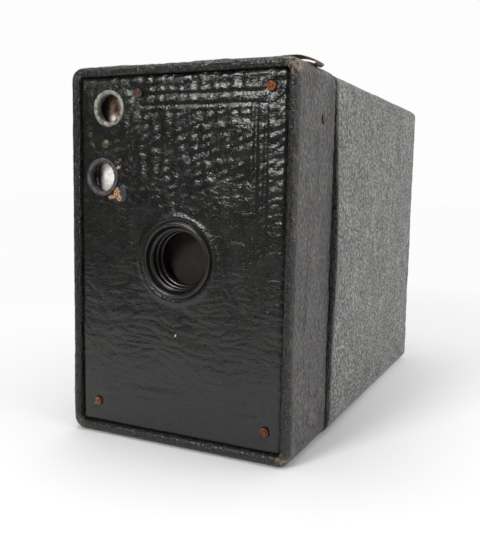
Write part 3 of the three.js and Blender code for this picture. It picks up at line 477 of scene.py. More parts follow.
def finder_glass(name, low, high, glow):
    """A clouded finder lens whose colour and glow are painted light, in place of the light let through the
    window in the side of the case; it also carries a painted shadow and a painted highlight.
    """
    s = Shade(name)
    haze = s.noise(560, 5, 0.7)
    tone = s.mix(s.ramp(haze, (0.4, 0.0), (0.62, 1.0)), low, high)
    # Painted shadow over the marked part of the lens, then a painted highlight at the marked spot.
    tone = s.mix(s.attribute("shadow"), tone, (0.012, 0.01, 0.009))
    tone = s.mix(s.attribute("spot"), tone, (0.85, 0.84, 0.8))
    # The lens glows though it is no lamp: painted light.
    return s.finish(tone, s.ramp(haze, (0.3, 0.1), (0.7, 0.3)), s.bump(haze, 0.02), IOR=1.5,
                    Coat_Weight=0.8, Emission_Color=tone, Emission_Strength=glow)


def tarnished_mirror():
    """Silvering gone brown, with dark blooms and a clean spot."""
    s = Shade("tarnished_mirror")
    bloom = s.noise(520, 5, 0.7, None, 0.6)
    tone = s.ramp(bloom, (0.3, (0.05, 0.02, 0.012)), (0.52, (0.17, 0.085, 0.05)), (0.75, (0.3, 0.2, 0.14)))
    return s.finish(tone, s.ramp(bloom, (0.3, 0.25), (0.7, 0.6)), s.bump(bloom, 0.03), Metallic=0.35)


def bright_mirror():
    """Silvering that is still bright, a little clouded."""
    s = Shade("bright_mirror")
    cloud = s.noise(420, 4, 0.6)
    tone = s.mix(cloud, (0.6, 0.58, 0.52), (0.82, 0.8, 0.75))
    return s.finish(tone, s.ramp(cloud, (0.3, 0.12), (0.7, 0.35)), s.bump(cloud, 0.01), Metallic=0.6)


def ruby():
    """Deep red transparent window."""
    s = Shade("ruby_glass")
    haze = s.noise(350, 4, 0.6)
    tone = s.mix(haze, (0.35, 0.01, 0.012), (0.55, 0.03, 0.03))
    return s.finish(tone, s.ramp(haze, (0.3, 0.08), (0.7, 0.3)), Transmission_Weight=0.5, IOR=1.5)


# The light grain colours of both coverings are partly painted sheen.
FRONT_CLOTH = case_covering("front_covering", (0.022, 0.02, 0.0195), (0.1, 0.09, 0.0855), 0.5, 0.8)
SHELL_CLOTH = case_covering("shell_covering", (0.034, 0.033, 0.032), (0.295, 0.29, 0.278), 0.66, 0.3)
PANEL = panel_covering()
STRAP = leather()
TIN = metal("black_tin", (0.012, 0.012, 0.013), (0.04, 0.03, 0.024), (0.28, 0.5), 0.35)
STEEL = metal("dull_steel", (0.3, 0.28, 0.25), (0.12, 0.085, 0.06), (0.34, 0.6))
BRASS = metal("brass", (0.4, 0.3, 0.14), (0.14, 0.1, 0.05), (0.3, 0.55))
NICKEL = metal("worn_nickel", (0.42, 0.4, 0.35), (0.16, 0.14, 0.11), (0.3, 0.6), 0.8, 700)
NAIL = metal("nail_steel", (0.07, 0.05, 0.05), (0.035, 0.026, 0.028), (0.4, 0.7), 0.3, 900, 0.08)
DISC = metal("shutter_disc", (0.006, 0.0052, 0.005), (0.03, 0.011, 0.006), (0.5, 0.75), 0.2, 150, 0.02)
GREY_RING = metal("grey_ring", (0.36, 0.37, 0.32), (0.04, 0.043, 0.037), (0.4, 0.65), 0.3, 800, 0.1)
PIN = metal("pin_brass", (0.14, 0.14, 0.07), (0.03, 0.032, 0.018), (0.3, 0.5), 0.5, 1500, 0.08)
DULL_RING = metal("dull_ring", (0.12, 0.105, 0.11), (0.022, 0.019, 0.02), (0.35, 0.6), 0.4, 800, 0.1)
HOOD_BLACK = metal("hood_black", (0.004, 0.004, 0.004), (0.012, 0.008, 0.006), (0.24, 0.42), 0.0, 500, 0.02)
RUSTS = {
    "top_left": rusted("tack_brown", (0.03, 0.015, 0.01), (0.2, 0.1, 0.06)),
    "top_right": rusted("tack_orange", (0.05, 0.014, 0.006), (0.55, 0.15, 0.03)),
    "bottom_left": rusted("tack_pitted", (0.02, 0.009, 0.005), (0.42, 0.15, 0.055)),
    "bottom_right": rusted("tack_red", (0.025, 0.008, 0.004), (0.3, 0.07, 0.02)),
}
CARD = card()
WOOD = timber()
GLASS = clear_glass()
# The side finder's lens: its near-white colour and its glow are painted light; the top finder's browned lens
# glows as painted light too.
HAZY_GLOWING = finder_glass("hazy_glowing_lens", (0.5, 0.48, 0.43), (0.85, 0.84, 0.8), 0.34)
BROWNED = finder_glass("browned_lens", (0.022, 0.01, 0.007), (0.19, 0.11, 0.075), 0.22)
OLD_MIRROR = tarnished_mirror()
GOOD_MIRROR = bright_mirror()
RUBY = ruby()


# ---------------------------------------------------------------- front frame
def frame_wear(points):
    """How rubbed the frame's covering is, most at the corners and along the front edges."""
    x, y, z = points.T
    depth = y - FACE_Y
    edge = np.minimum(HALF - np.abs(x), np.minimum(z, HEIGHT - z))
    ragged = Field((9, 9), 3)(x + z, depth + z)
    along = hump(depth - 0.9, 1.1) * hump(edge - 0.6, 0.9) * (0.2 + 0.2 * ragged)
    corners = np.zeros(len(points))
    spots = ((HALF - 1.4, HEIGHT - 3.0, 3.3, 1.05), (HALF - 2, 2, 3.4, 0.8),
             (-HALF + 2, 2.5, 3.2, 0.6), (-HALF + 3.4, HEIGHT - 3.4, 1.2, 0.7))
    for cx, cz, reach, strength in spots:
        distance = np.sqrt((x - cx) ** 2 + (z - cz) ** 2)
        corners = np.maximum(corners, strength * hump(distance, reach) * hump(depth, 4.5))
    rear_edge = 0.5 * hump(depth - 35, 0.8) * (0.5 + 0.4 * ragged) * (edge < 2)
    return np.clip(np.maximum(np.maximum(along, corners), rear_edge), 0, 1)


def build_front_frame():
    corner = 4.2
    cavity = HALF - FRAME_WALL
    length = FRONT_REAR_Y - FACE_Y
    round_front = 2.1
    # (inset from the outer outline, depth behind the front face)
    section = [(FRAME_WALL, length), (FRAME_WALL, 20), (FRAME_WALL, 4.3), (RIM, 4.1), (RIM, 1.7),
               (RIM - 0.05, 0.9), (RIM - 0.25, 0.42), (RIM - 0.6, 0.14), (RIM - 1.0, 0.05)]
    section += [(round_front + 0.2, 0.02)]
    for angle in np.radians(np.linspace(0, 90, 9)):
        section.append((round_front * (1 - math.sin(angle)), round_front * (1 - math.cos(angle))))
    section += [(0, depth) for depth in np.linspace(round_front + 1.1, length - 0.8, 26)]
    section += [(0.12, length - 0.3), (0.45, length - 0.05), (1.2, length)]
    rings = []
    for inset, depth in section:
        low_inset = inset if inset < RIM - 1.1 else inset + 0.25 * (depth < 4.2)
        rings.append(rounded_loop(HALF - inset, low_inset, HEIGHT - inset, corner - min(inset, 2.6),
                                  FACE_Y + depth))
    points = np.concatenate(rings)
    x, y, z = points.T.copy()
    depth = y - FACE_Y
    outside = (np.abs(x) > cavity + 1.2) | (z < FRAME_WALL - 1.2) | (z > HEIGHT - FRAME_WALL + 1.2)
    slow = Field((42, 38), 5)(np.where(np.abs(x) > HALF - 2, z, x), depth)
    small = Field((5.5, 5), 6)(np.where(np.abs(x) > HALF - 2, z, x), depth + 3 * np.sign(x))
    swell = np.where(outside, 0.10 * slow + 0.05 * small, 0)
    side = smoothstep(HALF - 1.5, HALF, np.abs(x))
    upright = smoothstep(CENTRE_Z - 1.5, CENTRE_Z, np.abs(z - CENTRE_Z))
    points[:, 0] += np.sign(x) * swell * side
    points[:, 2] += np.where(z > CENTRE_Z, 1, 0) * swell * upright * (depth > 2)
    face = (depth < 0.2) & outside
    crinkle = Field((2.4, 1.7), 7)(x, z)
    points[:, 1] += np.where(face, 0.05 * small - CRINKLE * np.abs(crinkle), 0)
    near_front = outside & (depth < 3.2)
    top_crinkle = np.abs(Field((2.2, 1.8), 9)(x, depth))
    points[:, 2] += np.where(near_front & (z > HEIGHT - 2), -0.1 * top_crinkle, 0)
    # upright ridges where the covering has shrunk on the sides, and dimples round the nails
    ridge = Field((2.6, 60), 8)(depth, z)
    between = smoothstep(3, 6, depth) * smoothstep(1, 4, length - depth)
    points[:, 0] += np.sign(x) * 0.05 * ridge * side * between
    for node in ("side_nail_upper_right", "side_nail_lower_right"):
        nail = middle(node)
        near = hump(np.sqrt((y - nail[1]) ** 2 + (z - nail[2]) ** 2), 2.4)
        points[:, 0] -= np.sign(x) * 0.35 * near * side
    wear = frame_wear(points)
    # The rim mark covers the frame's front face, whose covering is darkened nearly to black as painted shade.
    piece = make_object("front_frame_covered", points, loop_faces(len(rings), len(rings[0]), True),
                        FRONT_CLOTH, "front_section", ["front_frame"],
                        attributes={"wear": wear, "rim": smoothstep(3.2, 1.2, depth)})
    weld(piece.data)
    grow = 0.3
    cuts = []
    for glass, up in (("top_finder_glass", 2), ("side_finder_glass", 0)):
        low, high = corners(glass)
        low, high = low - grow, high + grow
        low[up] -= 3
        high[up] += 3
        cuts.append((low, high))
    for strip, up in (("stop_slide", 2), ("time_slide", 0)):
        low, high = corners(strip)
        plate = middle(strip)
        thin = 1.0
        low[1], high[1] = plate[1] - thin, plate[1] + thin
        if up == 2:
            low[2], high[2] = HEIGHT - 5, HEIGHT + 3
            low[0], high[0] = low[0] - grow, high[0] + grow
        else:
            low[0], high[0] = -HALF - 3, -HALF + 5
            low[2], high[2] = low[2] - grow, high[2] + grow
        cuts.append((low, high))
    lever = middle("shutter_lever_pivot")
    lever_y = corners("shutter_lever")[0][1] + 2.35
    cuts.append(((-HALF - 3, lever_y - 0.9, lever[2] - 4.8), (-HALF + 5, lever_y + 0.9, lever[2] + 4.8)))
    cut_boxes(piece, cuts)


# ---------------------------------------------------------------- front panel
def panel_relief(x, z):
    """Height of the panel's embossed surface, outward, in millimetres."""
    u, v = x * 0.843 + z * 0.538, z * 0.843 - x * 0.538
    cells = Field((6.0, 3.0), 21)(u, v) + Field((2.6, 1.9), 22)(u, v) * 0.15
    pebbles = 0.45 * np.tanh(1.2 * cells) + 0.3 * np.minimum(np.abs(Field((5.6, 3.6), 28)(u, v)), 1)
    drift = z + 0.8 * np.sin(x / 7) + 0.5 * Field((20, 14), 26)(x, z)
    waves = Field((15, 4.4), 23)(x, drift) * 0.85 + Field((6, 3), 27)(x, drift) * 0.2
    ripples = np.minimum(np.abs(waves), 1.1) ** 0.85
    upper = smoothstep(70, 96, z)
    middle_band = smoothstep(100, 80, z) * smoothstep(24, 58, z)
    lower = smoothstep(64, 40, z) * smoothstep(12, 30, z)
    left_calm = 1 - 0.35 * smoothstep(-20, -34, x) * smoothstep(70, 96, z)
    relief = PEBBLE * pebbles * upper * left_calm
    relief += RIPPLE * ripples * middle_band + FLAT_RIPPLE * ripples * lower
    relief = relief + 0.035 * pebbles * (1 - upper) * smoothstep(20, 70, z)
    relief = relief + 0.09 * Field((26, 22), 24)(x, z) - 0.15

    def line(distance, mask):
        groove = -LINE_DEPTH * hump(distance, 0.62) + LINE_LIP * hump(np.abs(distance) - 1.25, 0.6)
        return groove * mask

    calm = np.ones_like(x)
    grooves = np.zeros_like(x)
    for reach in (LINE_INNER, LINE_OUTER):
        gap = LINE_OUTER - reach
        top, bottom = LINE_TOP - gap, LINE_BOTTOM + gap
        right = smoothstep(bottom - 1, bottom + 1, z) * smoothstep(top + 1, top - 1, z)
        left = smoothstep(bottom - 1, bottom + 1, z) * smoothstep(82, 76, z)
        over = smoothstep(-15.5, -13.5, x) * smoothstep(reach + 1, reach - 1, x)
        under = smoothstep(-reach - 1, -reach + 1, x) * smoothstep(reach + 1, reach - 1, x)
        fade = 0.22 + 0.78 * smoothstep(50, 100, z)
        grooves += line(x - reach, right * fade) + line(x + reach, 0.5 * left * fade)
        grooves += line(z - top, over) + line(z - bottom, 0.22 * under)
        for distance, mask in ((x - reach, right), (x + reach, left), (z - top, over), (z - bottom, under)):
            calm = calm * (1 - 0.75 * mask * hump(distance, 1.0))
    return relief * calm + grooves


def build_front_panel():
    half = panel_high[0]
    low, high = panel_low[2], panel_high[2]
    columns = int(2 * half / PANEL_STEP)
    rows = int((high - low) / PANEL_STEP)
    xs = np.linspace(-half, half, columns + 1)
    zs = np.linspace(low, high, rows + 1)
    x, z = (grid.ravel() for grid in np.meshgrid(xs, zs))
    corner = 2.2
    cx = np.clip(x, -half + corner, half - corner)
    cz = np.clip(z, low + corner, high - corner)
    away = np.hypot(x - cx, z - cz)
    pull = np.where(away > corner, corner / np.maximum(away, 1e-6), 1)
    x, z = cx + (x - cx) * pull, cz + (z - cz) * pull
    edge = np.minimum(half - np.abs(x), np.minimum(z - low, high - z))
    lift = panel_relief(x, z)
    # the relief dies out under the metal rings and round the tacks
    calm = np.ones_like(x)
    for centre, reach in ((HOOD, 13.6), (TOP_EYE, 7.2), (SIDE_EYE, 7.4)):
        distance = np.hypot(x - centre[0], z - centre[2])
        calm *= smoothstep(reach - 0.8, reach + 2.4, distance)
    lift = lift * (0.12 + 0.88 * calm)
    for name in ("top_left", "top_right", "bottom_left", "bottom_right"):
        tack = middle(f"panel_tack_{name}")
        distance = np.hypot(x - tack[0], z - tack[2])
        lift = lift * (1 - 0.8 * hump(distance, 2.4)) - 0.5 * hump(distance, 2.5)
    ring = np.hypot(x - HOOD[0], z - HOOD[2])
    lift += 0.3 * hump(ring - 14.0, 0.9)
    # torn covering beside the lower finder window
    tears = np.zeros_like(x)
    ragged = 0.5 * Field((1.6, 1.6), 31)(x, z)
    for tx, tz, wide, tall in ((-23.3, 84.6, 1.3, 1.5), (-22.4, 82.6, 1.1, 0.9), (-25.2, 83.0, 1.3, 0.6),
                               (-22.5, 93.0, 0.6, 0.5)):
        distance = np.hypot((x - tx) / wide, (z - tz) / tall) + 0.3 * ragged
        tears = np.maximum(tears, smoothstep(1.5, 0.6, distance))
    lift -= 0.3 * tears
    smooth_patch = smoothstep(1.5, 0.8, np.hypot((x + 21.2) / 1.6, (z - 84.0) / 2.4))
    lift = lift * (1 - smooth_patch) + 0.05 * smooth_patch
    speck = smoothstep(1.4, 0.6, np.hypot(x - 0.1, z - 38) / 0.36)
    lift = np.clip(lift, -0.9, 0.35)
    roll = 0.55 * (1 - smoothstep(0, 1.1, edge))
    y = PANEL_Y - lift + roll
    vertices = np.stack([x, y, z], 1)
    index = np.arange(len(x)).reshape(rows + 1, columns + 1)
    quads = np.stack([index[:-1, :-1], index[:-1, 1:], index[1:, 1:], index[1:, :-1]], -1).reshape(-1, 4)
    centres = vertices[quads].mean(1)
    keep = np.ones(len(quads), bool)
    for centre, reach in ((HOOD, 11.6), (TOP_EYE, 5.3), (SIDE_EYE, 5.6)):
        keep &= np.hypot(centres[:, 0] - centre[0], centres[:, 2] - centre[2]) > reach
    piece = make_object("front_panel_embossed", vertices, quads[keep].tolist(), PANEL, "front_section",
                        ["front_panel"], attributes={"tear": tears, "speck": speck, "bare": smooth_patch})
    work = bmesh.new()
    work.from_mesh(piece.data)
    bmesh.ops.remove_doubles(work, verts=work.verts, dist=1e-7)
    loose = [v for v in work.verts if not v.link_faces]
    bmesh.ops.delete(work, geom=loose, context="VERTS")
    rim = [e for e in work.edges if e.is_boundary]
    walls = bmesh.ops.extrude_edge_only(work, edges=rim)["geom"]
    back_y = (panel_high[1] - 0.05) * MM
    for vertex in (g for g in walls if isinstance(g, bmesh.types.BMVert)):
        vertex.co.y = back_y
    for face in work.faces:
        face.smooth = True
    bmesh.ops.recalc_face_normals(work, faces=work.faces)
    work.to_mesh(piece.data)
    work.free()
    sharpen(piece.data, 60)


# ---------------------------------------------------------------- rear shell
def shell_bow(points):
    """How far the side walls belly outward near the mouth, in millimetres."""
    x, y, z = points.T
    depth = y - SHELL_MOUTH_Y
    tall = (0.45 + 0.55 * smoothstep(4, 46, z)) * smoothstep(SHELL_TOP + 2, 78, z) * smoothstep(0.5, 6, z)
    along = np.exp(-((depth / 46) ** 2))
    side = smoothstep(HALF - 9, HALF - 2.2, np.abs(x))
    amount = np.where(x > 0, RIGHT_BOW, LEFT_BOW)
    return np.sign(x) * amount * tall * along * side


def build_rear_shell():
    corner = 3.6
    length = SHELL_REAR_Y - SHELL_MOUTH_Y
    window = (size("ruby_window_ring")[0] / 2) - 2.4
    wall = SHELL_WALL
    round_rear = 2.6
    outer = [(wall, 0.05), (wall - 0.6, 0.0), (1.1, 0.0), (0.5, 0.08), (0.15, 0.35), (0, 0.8)]
    outer += [(0, depth) for depth in np.linspace(2.4, length - round_rear - 1.5, 58)]
    for angle in np.radians(np.linspace(0, 90, 8)):
        outer.append((round_rear * (1 - math.cos(angle)), length - round_rear * (1 - math.sin(angle))))
    rings = []
    for inset, depth in outer:
        rings.append(rounded_loop(HALF - inset, inset, SHELL_TOP - inset, corner - min(inset, 2.4),
                                  SHELL_MOUTH_Y + depth))
    centre = np.array([0, 0, middle("ruby_window_ring")[2]])

    def toward_window(loop, share, y):
        flat = loop - centre
        flat[:, 1] = 0
        radius = np.linalg.norm(flat, axis=1, keepdims=True)
        circle = centre + flat / radius * window
        ring = loop * (1 - share) + circle * share
        ring[:, 1] = y
        return ring

    last = rings[-1]
    for share in np.linspace(0.04, 1, 22):
        rings.append(toward_window(last, share, SHELL_REAR_Y))
    inner_y = SHELL_REAR_Y - wall
    inner_loop = rounded_loop(HALF - wall, wall, SHELL_TOP - wall, 1.2, inner_y)
    for share in (1, 0.75, 0.5, 0.25, 0.06, 0):
        rings.append(toward_window(inner_loop, share, inner_y))
    for depth in np.linspace(length - wall - 3, 1.2, 24):
        rings.append(rounded_loop(HALF - wall, wall, SHELL_TOP - wall, 1.2, SHELL_MOUTH_Y + depth))
    points = np.concatenate(rings)
    count = len(rings[0])
    x, y, z = points.T.copy()
    outside = np.zeros(len(points), bool)
    outside[count: (len(outer) + 21) * count] = True
    depth = y - SHELL_MOUTH_Y
    slow = Field((60, 48), 41)(np.where(np.abs(x) > HALF - 2, z, x), depth)
    small = Field((7, 6), 42)(np.where(np.abs(x) > HALF - 2, z, x), depth)
    swell = np.where(outside, 0.14 * slow + 0.045 * small, 0)
    side = smoothstep(HALF - 1.5, HALF, np.abs(x))
    top = smoothstep(SHELL_TOP - 1.5, SHELL_TOP, z)
    points[:, 0] += np.sign(x) * swell * side + shell_bow(points)
    points[:, 2] += swell * top
    points[:, 1] += np.where(outside & (depth > length - 0.6), 0.5 * swell, 0)
    edge = np.minimum(HALF - np.abs(x), np.minimum(z, SHELL_TOP - z))
    ragged = Field((8, 8), 43)(x + z, depth)
    rear = hump(depth - length + 0.8, 1.6) * hump(edge - 0.6, 1.1)
    # The mouth's edge is marked rim, and its covering darkened nearly to black: painted shade in the seam.
    mouth = smoothstep(2.3, 1.3, depth)
    wear = np.clip((0.3 + 0.3 * ragged) * rear, 0, 1)
    piece = make_object("rear_shell_covered", points, loop_faces(len(rings), count, True),
                        SHELL_CLOTH, "rear_shell", ["rear_shell"],
                        attributes={"wear": np.where(outside, wear, 0), "rim": mouth})
    weld(piece.data)
    key = middle("winding_key")
    stem = 3.2
    cut_boxes(piece, [((-HALF - 5, SHELL_MOUTH_Y - 5, key[2] - stem),
                       (-HALF + 5, key[1] + stem, key[2] + stem))])
    piece.data.materials.append(CARD)
    paint_inside(piece)


def paint_inside(piece):
    """Gives the shell's inner faces the second material, the bare black lining."""
    reach = (HALF - SHELL_WALL + 0.25) * MM
    for polygon in piece.data.polygons:
        c = polygon.center
        bow = 0.0019 if c.y < -0.01 else 0.0004
        within = abs(c.x) < reach + bow and 0.0021 < c.z < (SHELL_TOP - 2.1) * MM
        before_back = (SHELL_MOUTH_Y + 0.3) * MM < c.y < (SHELL_REAR_Y - 1.2) * MM
        facing_in = polygon.normal.x * c.x < 1e-6 and (polygon.normal.z * (c.z - CENTRE_Z * MM)) < 1e-6
        polygon.material_index = 1 if within and before_back and facing_in else 0


# ---------------------------------------------------------------- metalwork and glass at the front
def build_hood():
    """Rolled outer ring, a second ring inside it and stepped walls going back."""
    face = PANEL_Y
    profile = []
    profile += [(HOOD[0] + r, y) for r, y in arc(11.9, face - 0.35, 0.95, 180, 360, 14)]
    profile += [(12.85, face + 0.1), (11.1, face + 0.15), (11.1, face + 7.7), (8.7, face + 7.7)]
    profile += [(8.7, face + 6.2), (8.95, face + 5.9), (9.25, face + 5.8), (9.3, face + 5.5)]
    profile += [(9.3, face + 4.0), (9.5, face + 3.75), (9.8, face + 3.65), (9.9, face + 3.35)]
    profile += [(9.9, face + 2.2), (9.75, face + 1.95), (9.8, face + 1.6), (10.2, face + 1.4)]
    profile += [(10.55, face + 1.2), (10.65, face + 0.8), (10.9, face + 0.2)]
    piece = turned_facing("lens_hood_ring", "lens_hood", profile, HOOD_BLACK, 160)
    sharpen(piece.data, 50)


def build_eyelet(name, node, bore, grime):
    face = PANEL_Y
    outer = size(node)[0] / 2
    profile = arc(outer - 0.35, face - 0.1, 0.35, 0, -90, 5)
    profile += [(bore + 0.5, face - 0.42), (bore + 0.2, face - 0.38), (bore + 0.03, face - 0.2)]
    profile += [(bore, face + 0.3), (bore, face + 2.4), (bore + 0.25, face + 2.4), (bore + 0.28, face + 0.1)]
    profile += [(outer, face + 0.12)]
    wobble = Field((3.2, 3.2), 51 + int(bore * 10))

    def rough(vertices):
        x, y, z = vertices.T
        vertices[:, 1] += 0.05 * wobble(x * 1.3, z * 1.3) * (y < face)
        return vertices

    piece = turned_facing(name, node, profile, grime, 96, rough)


def build_finder_lens(name, node, material, glint):
    """glint: where the brightest point is and how large, in shares of the lens radius."""
    low, high = corners(node)
    centre = middle(node)
    radius = (high[0] - low[0]) / 2
    front, rear = low[1], high[1]
    curve = [(radius * t, front + 0.6 * t * t) for t in np.linspace(0.0, 1, 14)]
    profile = curve + [(radius, rear - 0.1), (radius - 0.1, rear), (0, rear)]
    piece = turned_facing(name, node, profile, material, 64)
    spots = np.array([v.co[:] for v in piece.data.vertices]) / MM
    across, up = (spots[:, 0] - centre[0]) / radius, (spots[:, 2] - centre[2]) / radius
    # Painted shadow over the left of the lens and round its border, and a painted highlight at the glint.
    border = smoothstep(0.8, 0.98, np.hypot(across, up))
    mark(piece.data, "shadow", np.maximum(smoothstep(-0.1, -0.75, across), border))
    mark(piece.data, "spot", hump(np.hypot(across - glint[0], up - glint[1]), glint[2]))


def domed_head(radius, rise, proud, last_angle, steps):
    """Outline of a domed head from its crown to its edge; proud: its edge's height off the panel."""
    outline = [(0.0, PANEL_Y - proud - rise)]
    for angle in np.radians(np.linspace(8, last_angle, steps)):
        outline.append((radius * math.sin(angle), PANEL_Y - proud - rise * math.cos(angle)))
    return outline


def build_tack(corner, seed):
    """A domed tack head, rusted and pitted."""
    node = f"panel_tack_{corner}"
    field = Field((1.3, 1.3), seed)
    dent = Field((2.6, 2.6), seed + 50)
    profile = domed_head(TACK_RADIUS, TACK_RISE, 0.1, 84, 12)
    profile += [(TACK_RADIUS + 0.02, PANEL_Y + 0.05), (1.6, PANEL_Y + 0.15), (SHANK_RADIUS, PANEL_Y + 0.1),
                (SHANK_RADIUS, PANEL_Y + SHANK_LENGTH), (0.0, PANEL_Y + SHANK_LENGTH)]

    def rough(vertices):
        x, y, z = vertices.T
        front = y < PANEL_Y
        vertices[:, 1] += np.where(front, 0.11 * field(x, z) + 0.08 * dent(x, z), 0)
        swell = 0.85 + np.where(front, 0.06 * dent(z, x), 0)
        vertices[:, 0] *= swell
        vertices[:, 2] *= swell
        return vertices

    piece = turned_facing(node + "_rusted", node, profile, RUSTS[corner], 48, rough)


def build_pin():
    profile = domed_head(PIN_RADIUS, PIN_RISE, 0.05, 88, 10)
    profile += [(PIN_RADIUS - 0.05, PANEL_Y + 0.05), (SHANK_RADIUS, PANEL_Y + 0.05),
                (SHANK_RADIUS, PANEL_Y + SHANK_LENGTH), (0.0, PANEL_Y + SHANK_LENGTH)]
    piece = turned_facing("panel_pin_domed", "panel_pin", profile, PIN, 40)


def build_side_nail(level, side):
    node = f"side_nail_{level}_{side}"
    centre = middle(node)
    way = 1 if side == "right" else -1
    field = Field((1.5, 1.5), 61 + way + len(level))
    profile = [(0.0, 0.28), (0.8, 0.27), (1.3, 0.2), (1.62, 0.05), (1.7, -0.1), (0.6, -0.12),
               (0.6, -3.2), (0, -3.2)]
    profile = [(r, way * (HALF - NAIL_INSET + a)) for r, a in profile]

    def rough(vertices):
        x, y, z = vertices.T
        vertices[:, 1] += np.where(np.abs(y) > HALF - NAIL_INSET, 0.06 * field(x, z), 0)
        return vertices

    piece = turned(node + "_head", profile, (0, centre[1], centre[2]), "x", NAIL, "front_section",
                   [node], 40, rough)


# ---------------------------------------------------------------- strap
def strap_route():
    """Centre line of the strap in x and z, each end folded under, as in its solid."""
    right = [(0, 1.7), (14, 1.95), (26, 2.4), (33.2, 2.6), (35.6, 2.4), (37.6, 1.85), (39.3, 1.2),
             (40.3, 0.72), (40.9, 0.15), (40.3, -0.3), (39.2, -0.05), (38, 0.28), (36.4, 0.45),
             (30.5, 0.45)]
    left = [(-x, rise) for x, rise in reversed(right[1:])]
    knots = np.array([(x, HEIGHT + rise) for x, rise in left + right])
    curve = bpy.data.curves.new("strap_route", "CURVE")
    curve.dimensions = "3D"
    spline = curve.splines.new("BEZIER")
    spline.bezier_points.add(len(knots) - 1)
    for point, (x, z) in zip(spline.bezier_points, knots):
        point.co = (x, 0, z)
        point.handle_left_type = point.handle_right_type = "AUTO"
    spline.resolution_u = 10
    holder = bpy.data.objects.new("strap_route", curve)
    line = np.array([v.co[:] for v in holder.to_mesh().vertices])[:, [0, 2]]
    holder.to_mesh_clear()
    bpy.data.objects.remove(holder)
    bpy.data.curves.remove(curve)
    return line


def build_strap():
    line = strap_route()
    tangent = np.gradient(line, axis=0)
    tangent /= np.linalg.norm(tangent, axis=1, keepdims=True)
    normal = np.stack([-tangent[:, 1], tangent[:, 0]], 1)
    wide = size("strap")[1] / 2
    middle_y = middle("strap")[1]
    # a flat section with rounded edges and a slight crown
    count = 28
    angle = np.arange(count) * 2 * math.pi / count
    section_y = wide * np.sign(np.cos(angle)) * np.abs(np.cos(angle)) ** 0.35
    section_n = STRAP_HALF_THICKNESS * np.sign(np.sin(angle)) * np.abs(np.sin(angle)) ** 0.6
    bend = Field((9, 9), 71)
    rings = []
    wear = []
    for i, (point, along) in enumerate(zip(line, normal)):
        drift = 0.12 * bend(np.array([i * 0.6]), np.array([0.0]))[0]
        narrow = 1 - 0.025 * bend(np.array([i * 0.4]), np.array([20.0]))[0] ** 2
        y = middle_y + drift + section_y * narrow
        lift = section_n + 0.05 * np.cos(section_y / wide * math.pi / 2)
        rings.append(np.stack([point[0] + along[0] * lift, y, point[1] + along[1] * lift], 1))
        wear.append(smoothstep(0.8, 1.0, np.abs(section_y) / wide))
    points = np.concatenate(rings)
    faces = loop_faces(len(rings), count, closed=False)
    faces.append(tuple(range(count))[::-1])
    faces.append(tuple(range((len(rings) - 1) * count, len(rings) * count)))
    piece = make_object("strap_leather", points, faces, STRAP, "front_section", ["strap"],
                        attributes={"wear": np.concatenate(wear)})
    weld(piece.data)
    sharpen(piece.data, 60)


# ---------------------------------------------------------------- CAD nodes that keep their shape
FINISHES = {
    TIN: ("top_finder_box", "side_finder_box", "inner_sleeve", "carrier_plate_left", "carrier_plate_right",
          "film_gate", "take_up_spool_flange_left", "take_up_spool_flange_right",
          "supply_spool_flange_left", "supply_spool_flange_right", "ruby_window_ring"),
    CARD: ("shutter_board", "light_cone"),
    WOOD: ("lens_board", "take_up_spool_core", "supply_spool_core"),
    DISC: ("shutter_disc",),
    STEEL: ("shutter_lever", "shutter_spring", "lens_retaining_ring",
            "spool_spring_lower_left", "spool_spring_lower_right", "spool_spring_upper_right",
            "film_roller_lower", "film_roller_upper"),
    BRASS: ("shutter_disc_pivot", "shutter_lever_pivot", "stop_slide", "time_slide", "lens_cell",
            "key_collar", "strap_rivet_left", "strap_rivet_right"),
    NICKEL: ("winding_key", "top_finder_frame", "side_finder_frame"),
    OLD_MIRROR: ("top_finder_mirror",),
    GOOD_MIRROR: ("side_finder_mirror",),
    GLASS: ("top_finder_glass", "side_finder_glass", "meniscus_lens"),
    RUBY: ("ruby_window",),
}
SOFT_EDGES = {"winding_key": 0.35, "shutter_lever": 0.18, "stop_slide": 0.18, "time_slide": 0.18,
              "top_finder_frame": 0.12, "side_finder_frame": 0.12, "film_gate": 0.15, "lens_board": 0.3}


def finish_cad_nodes():
    for material, nodes in FINISHES.items():
        for name in nodes:
            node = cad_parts[name]
            node.data.materials.clear()
            node.data.materials.append(material)
            node.data.polygons.foreach_set("use_smooth", [True] * len(node.data.polygons))
            sharpen(node.data, 32)
            if name in SOFT_EDGES:
                edge = node.modifiers.new("soft_edge", "BEVEL")
                edge.width = SOFT_EDGES[name] * MM
                edge.segments = 3
                edge.limit_method = "ANGLE"
                edge.angle_limit = math.radians(40)
                edge.harden_normals = True


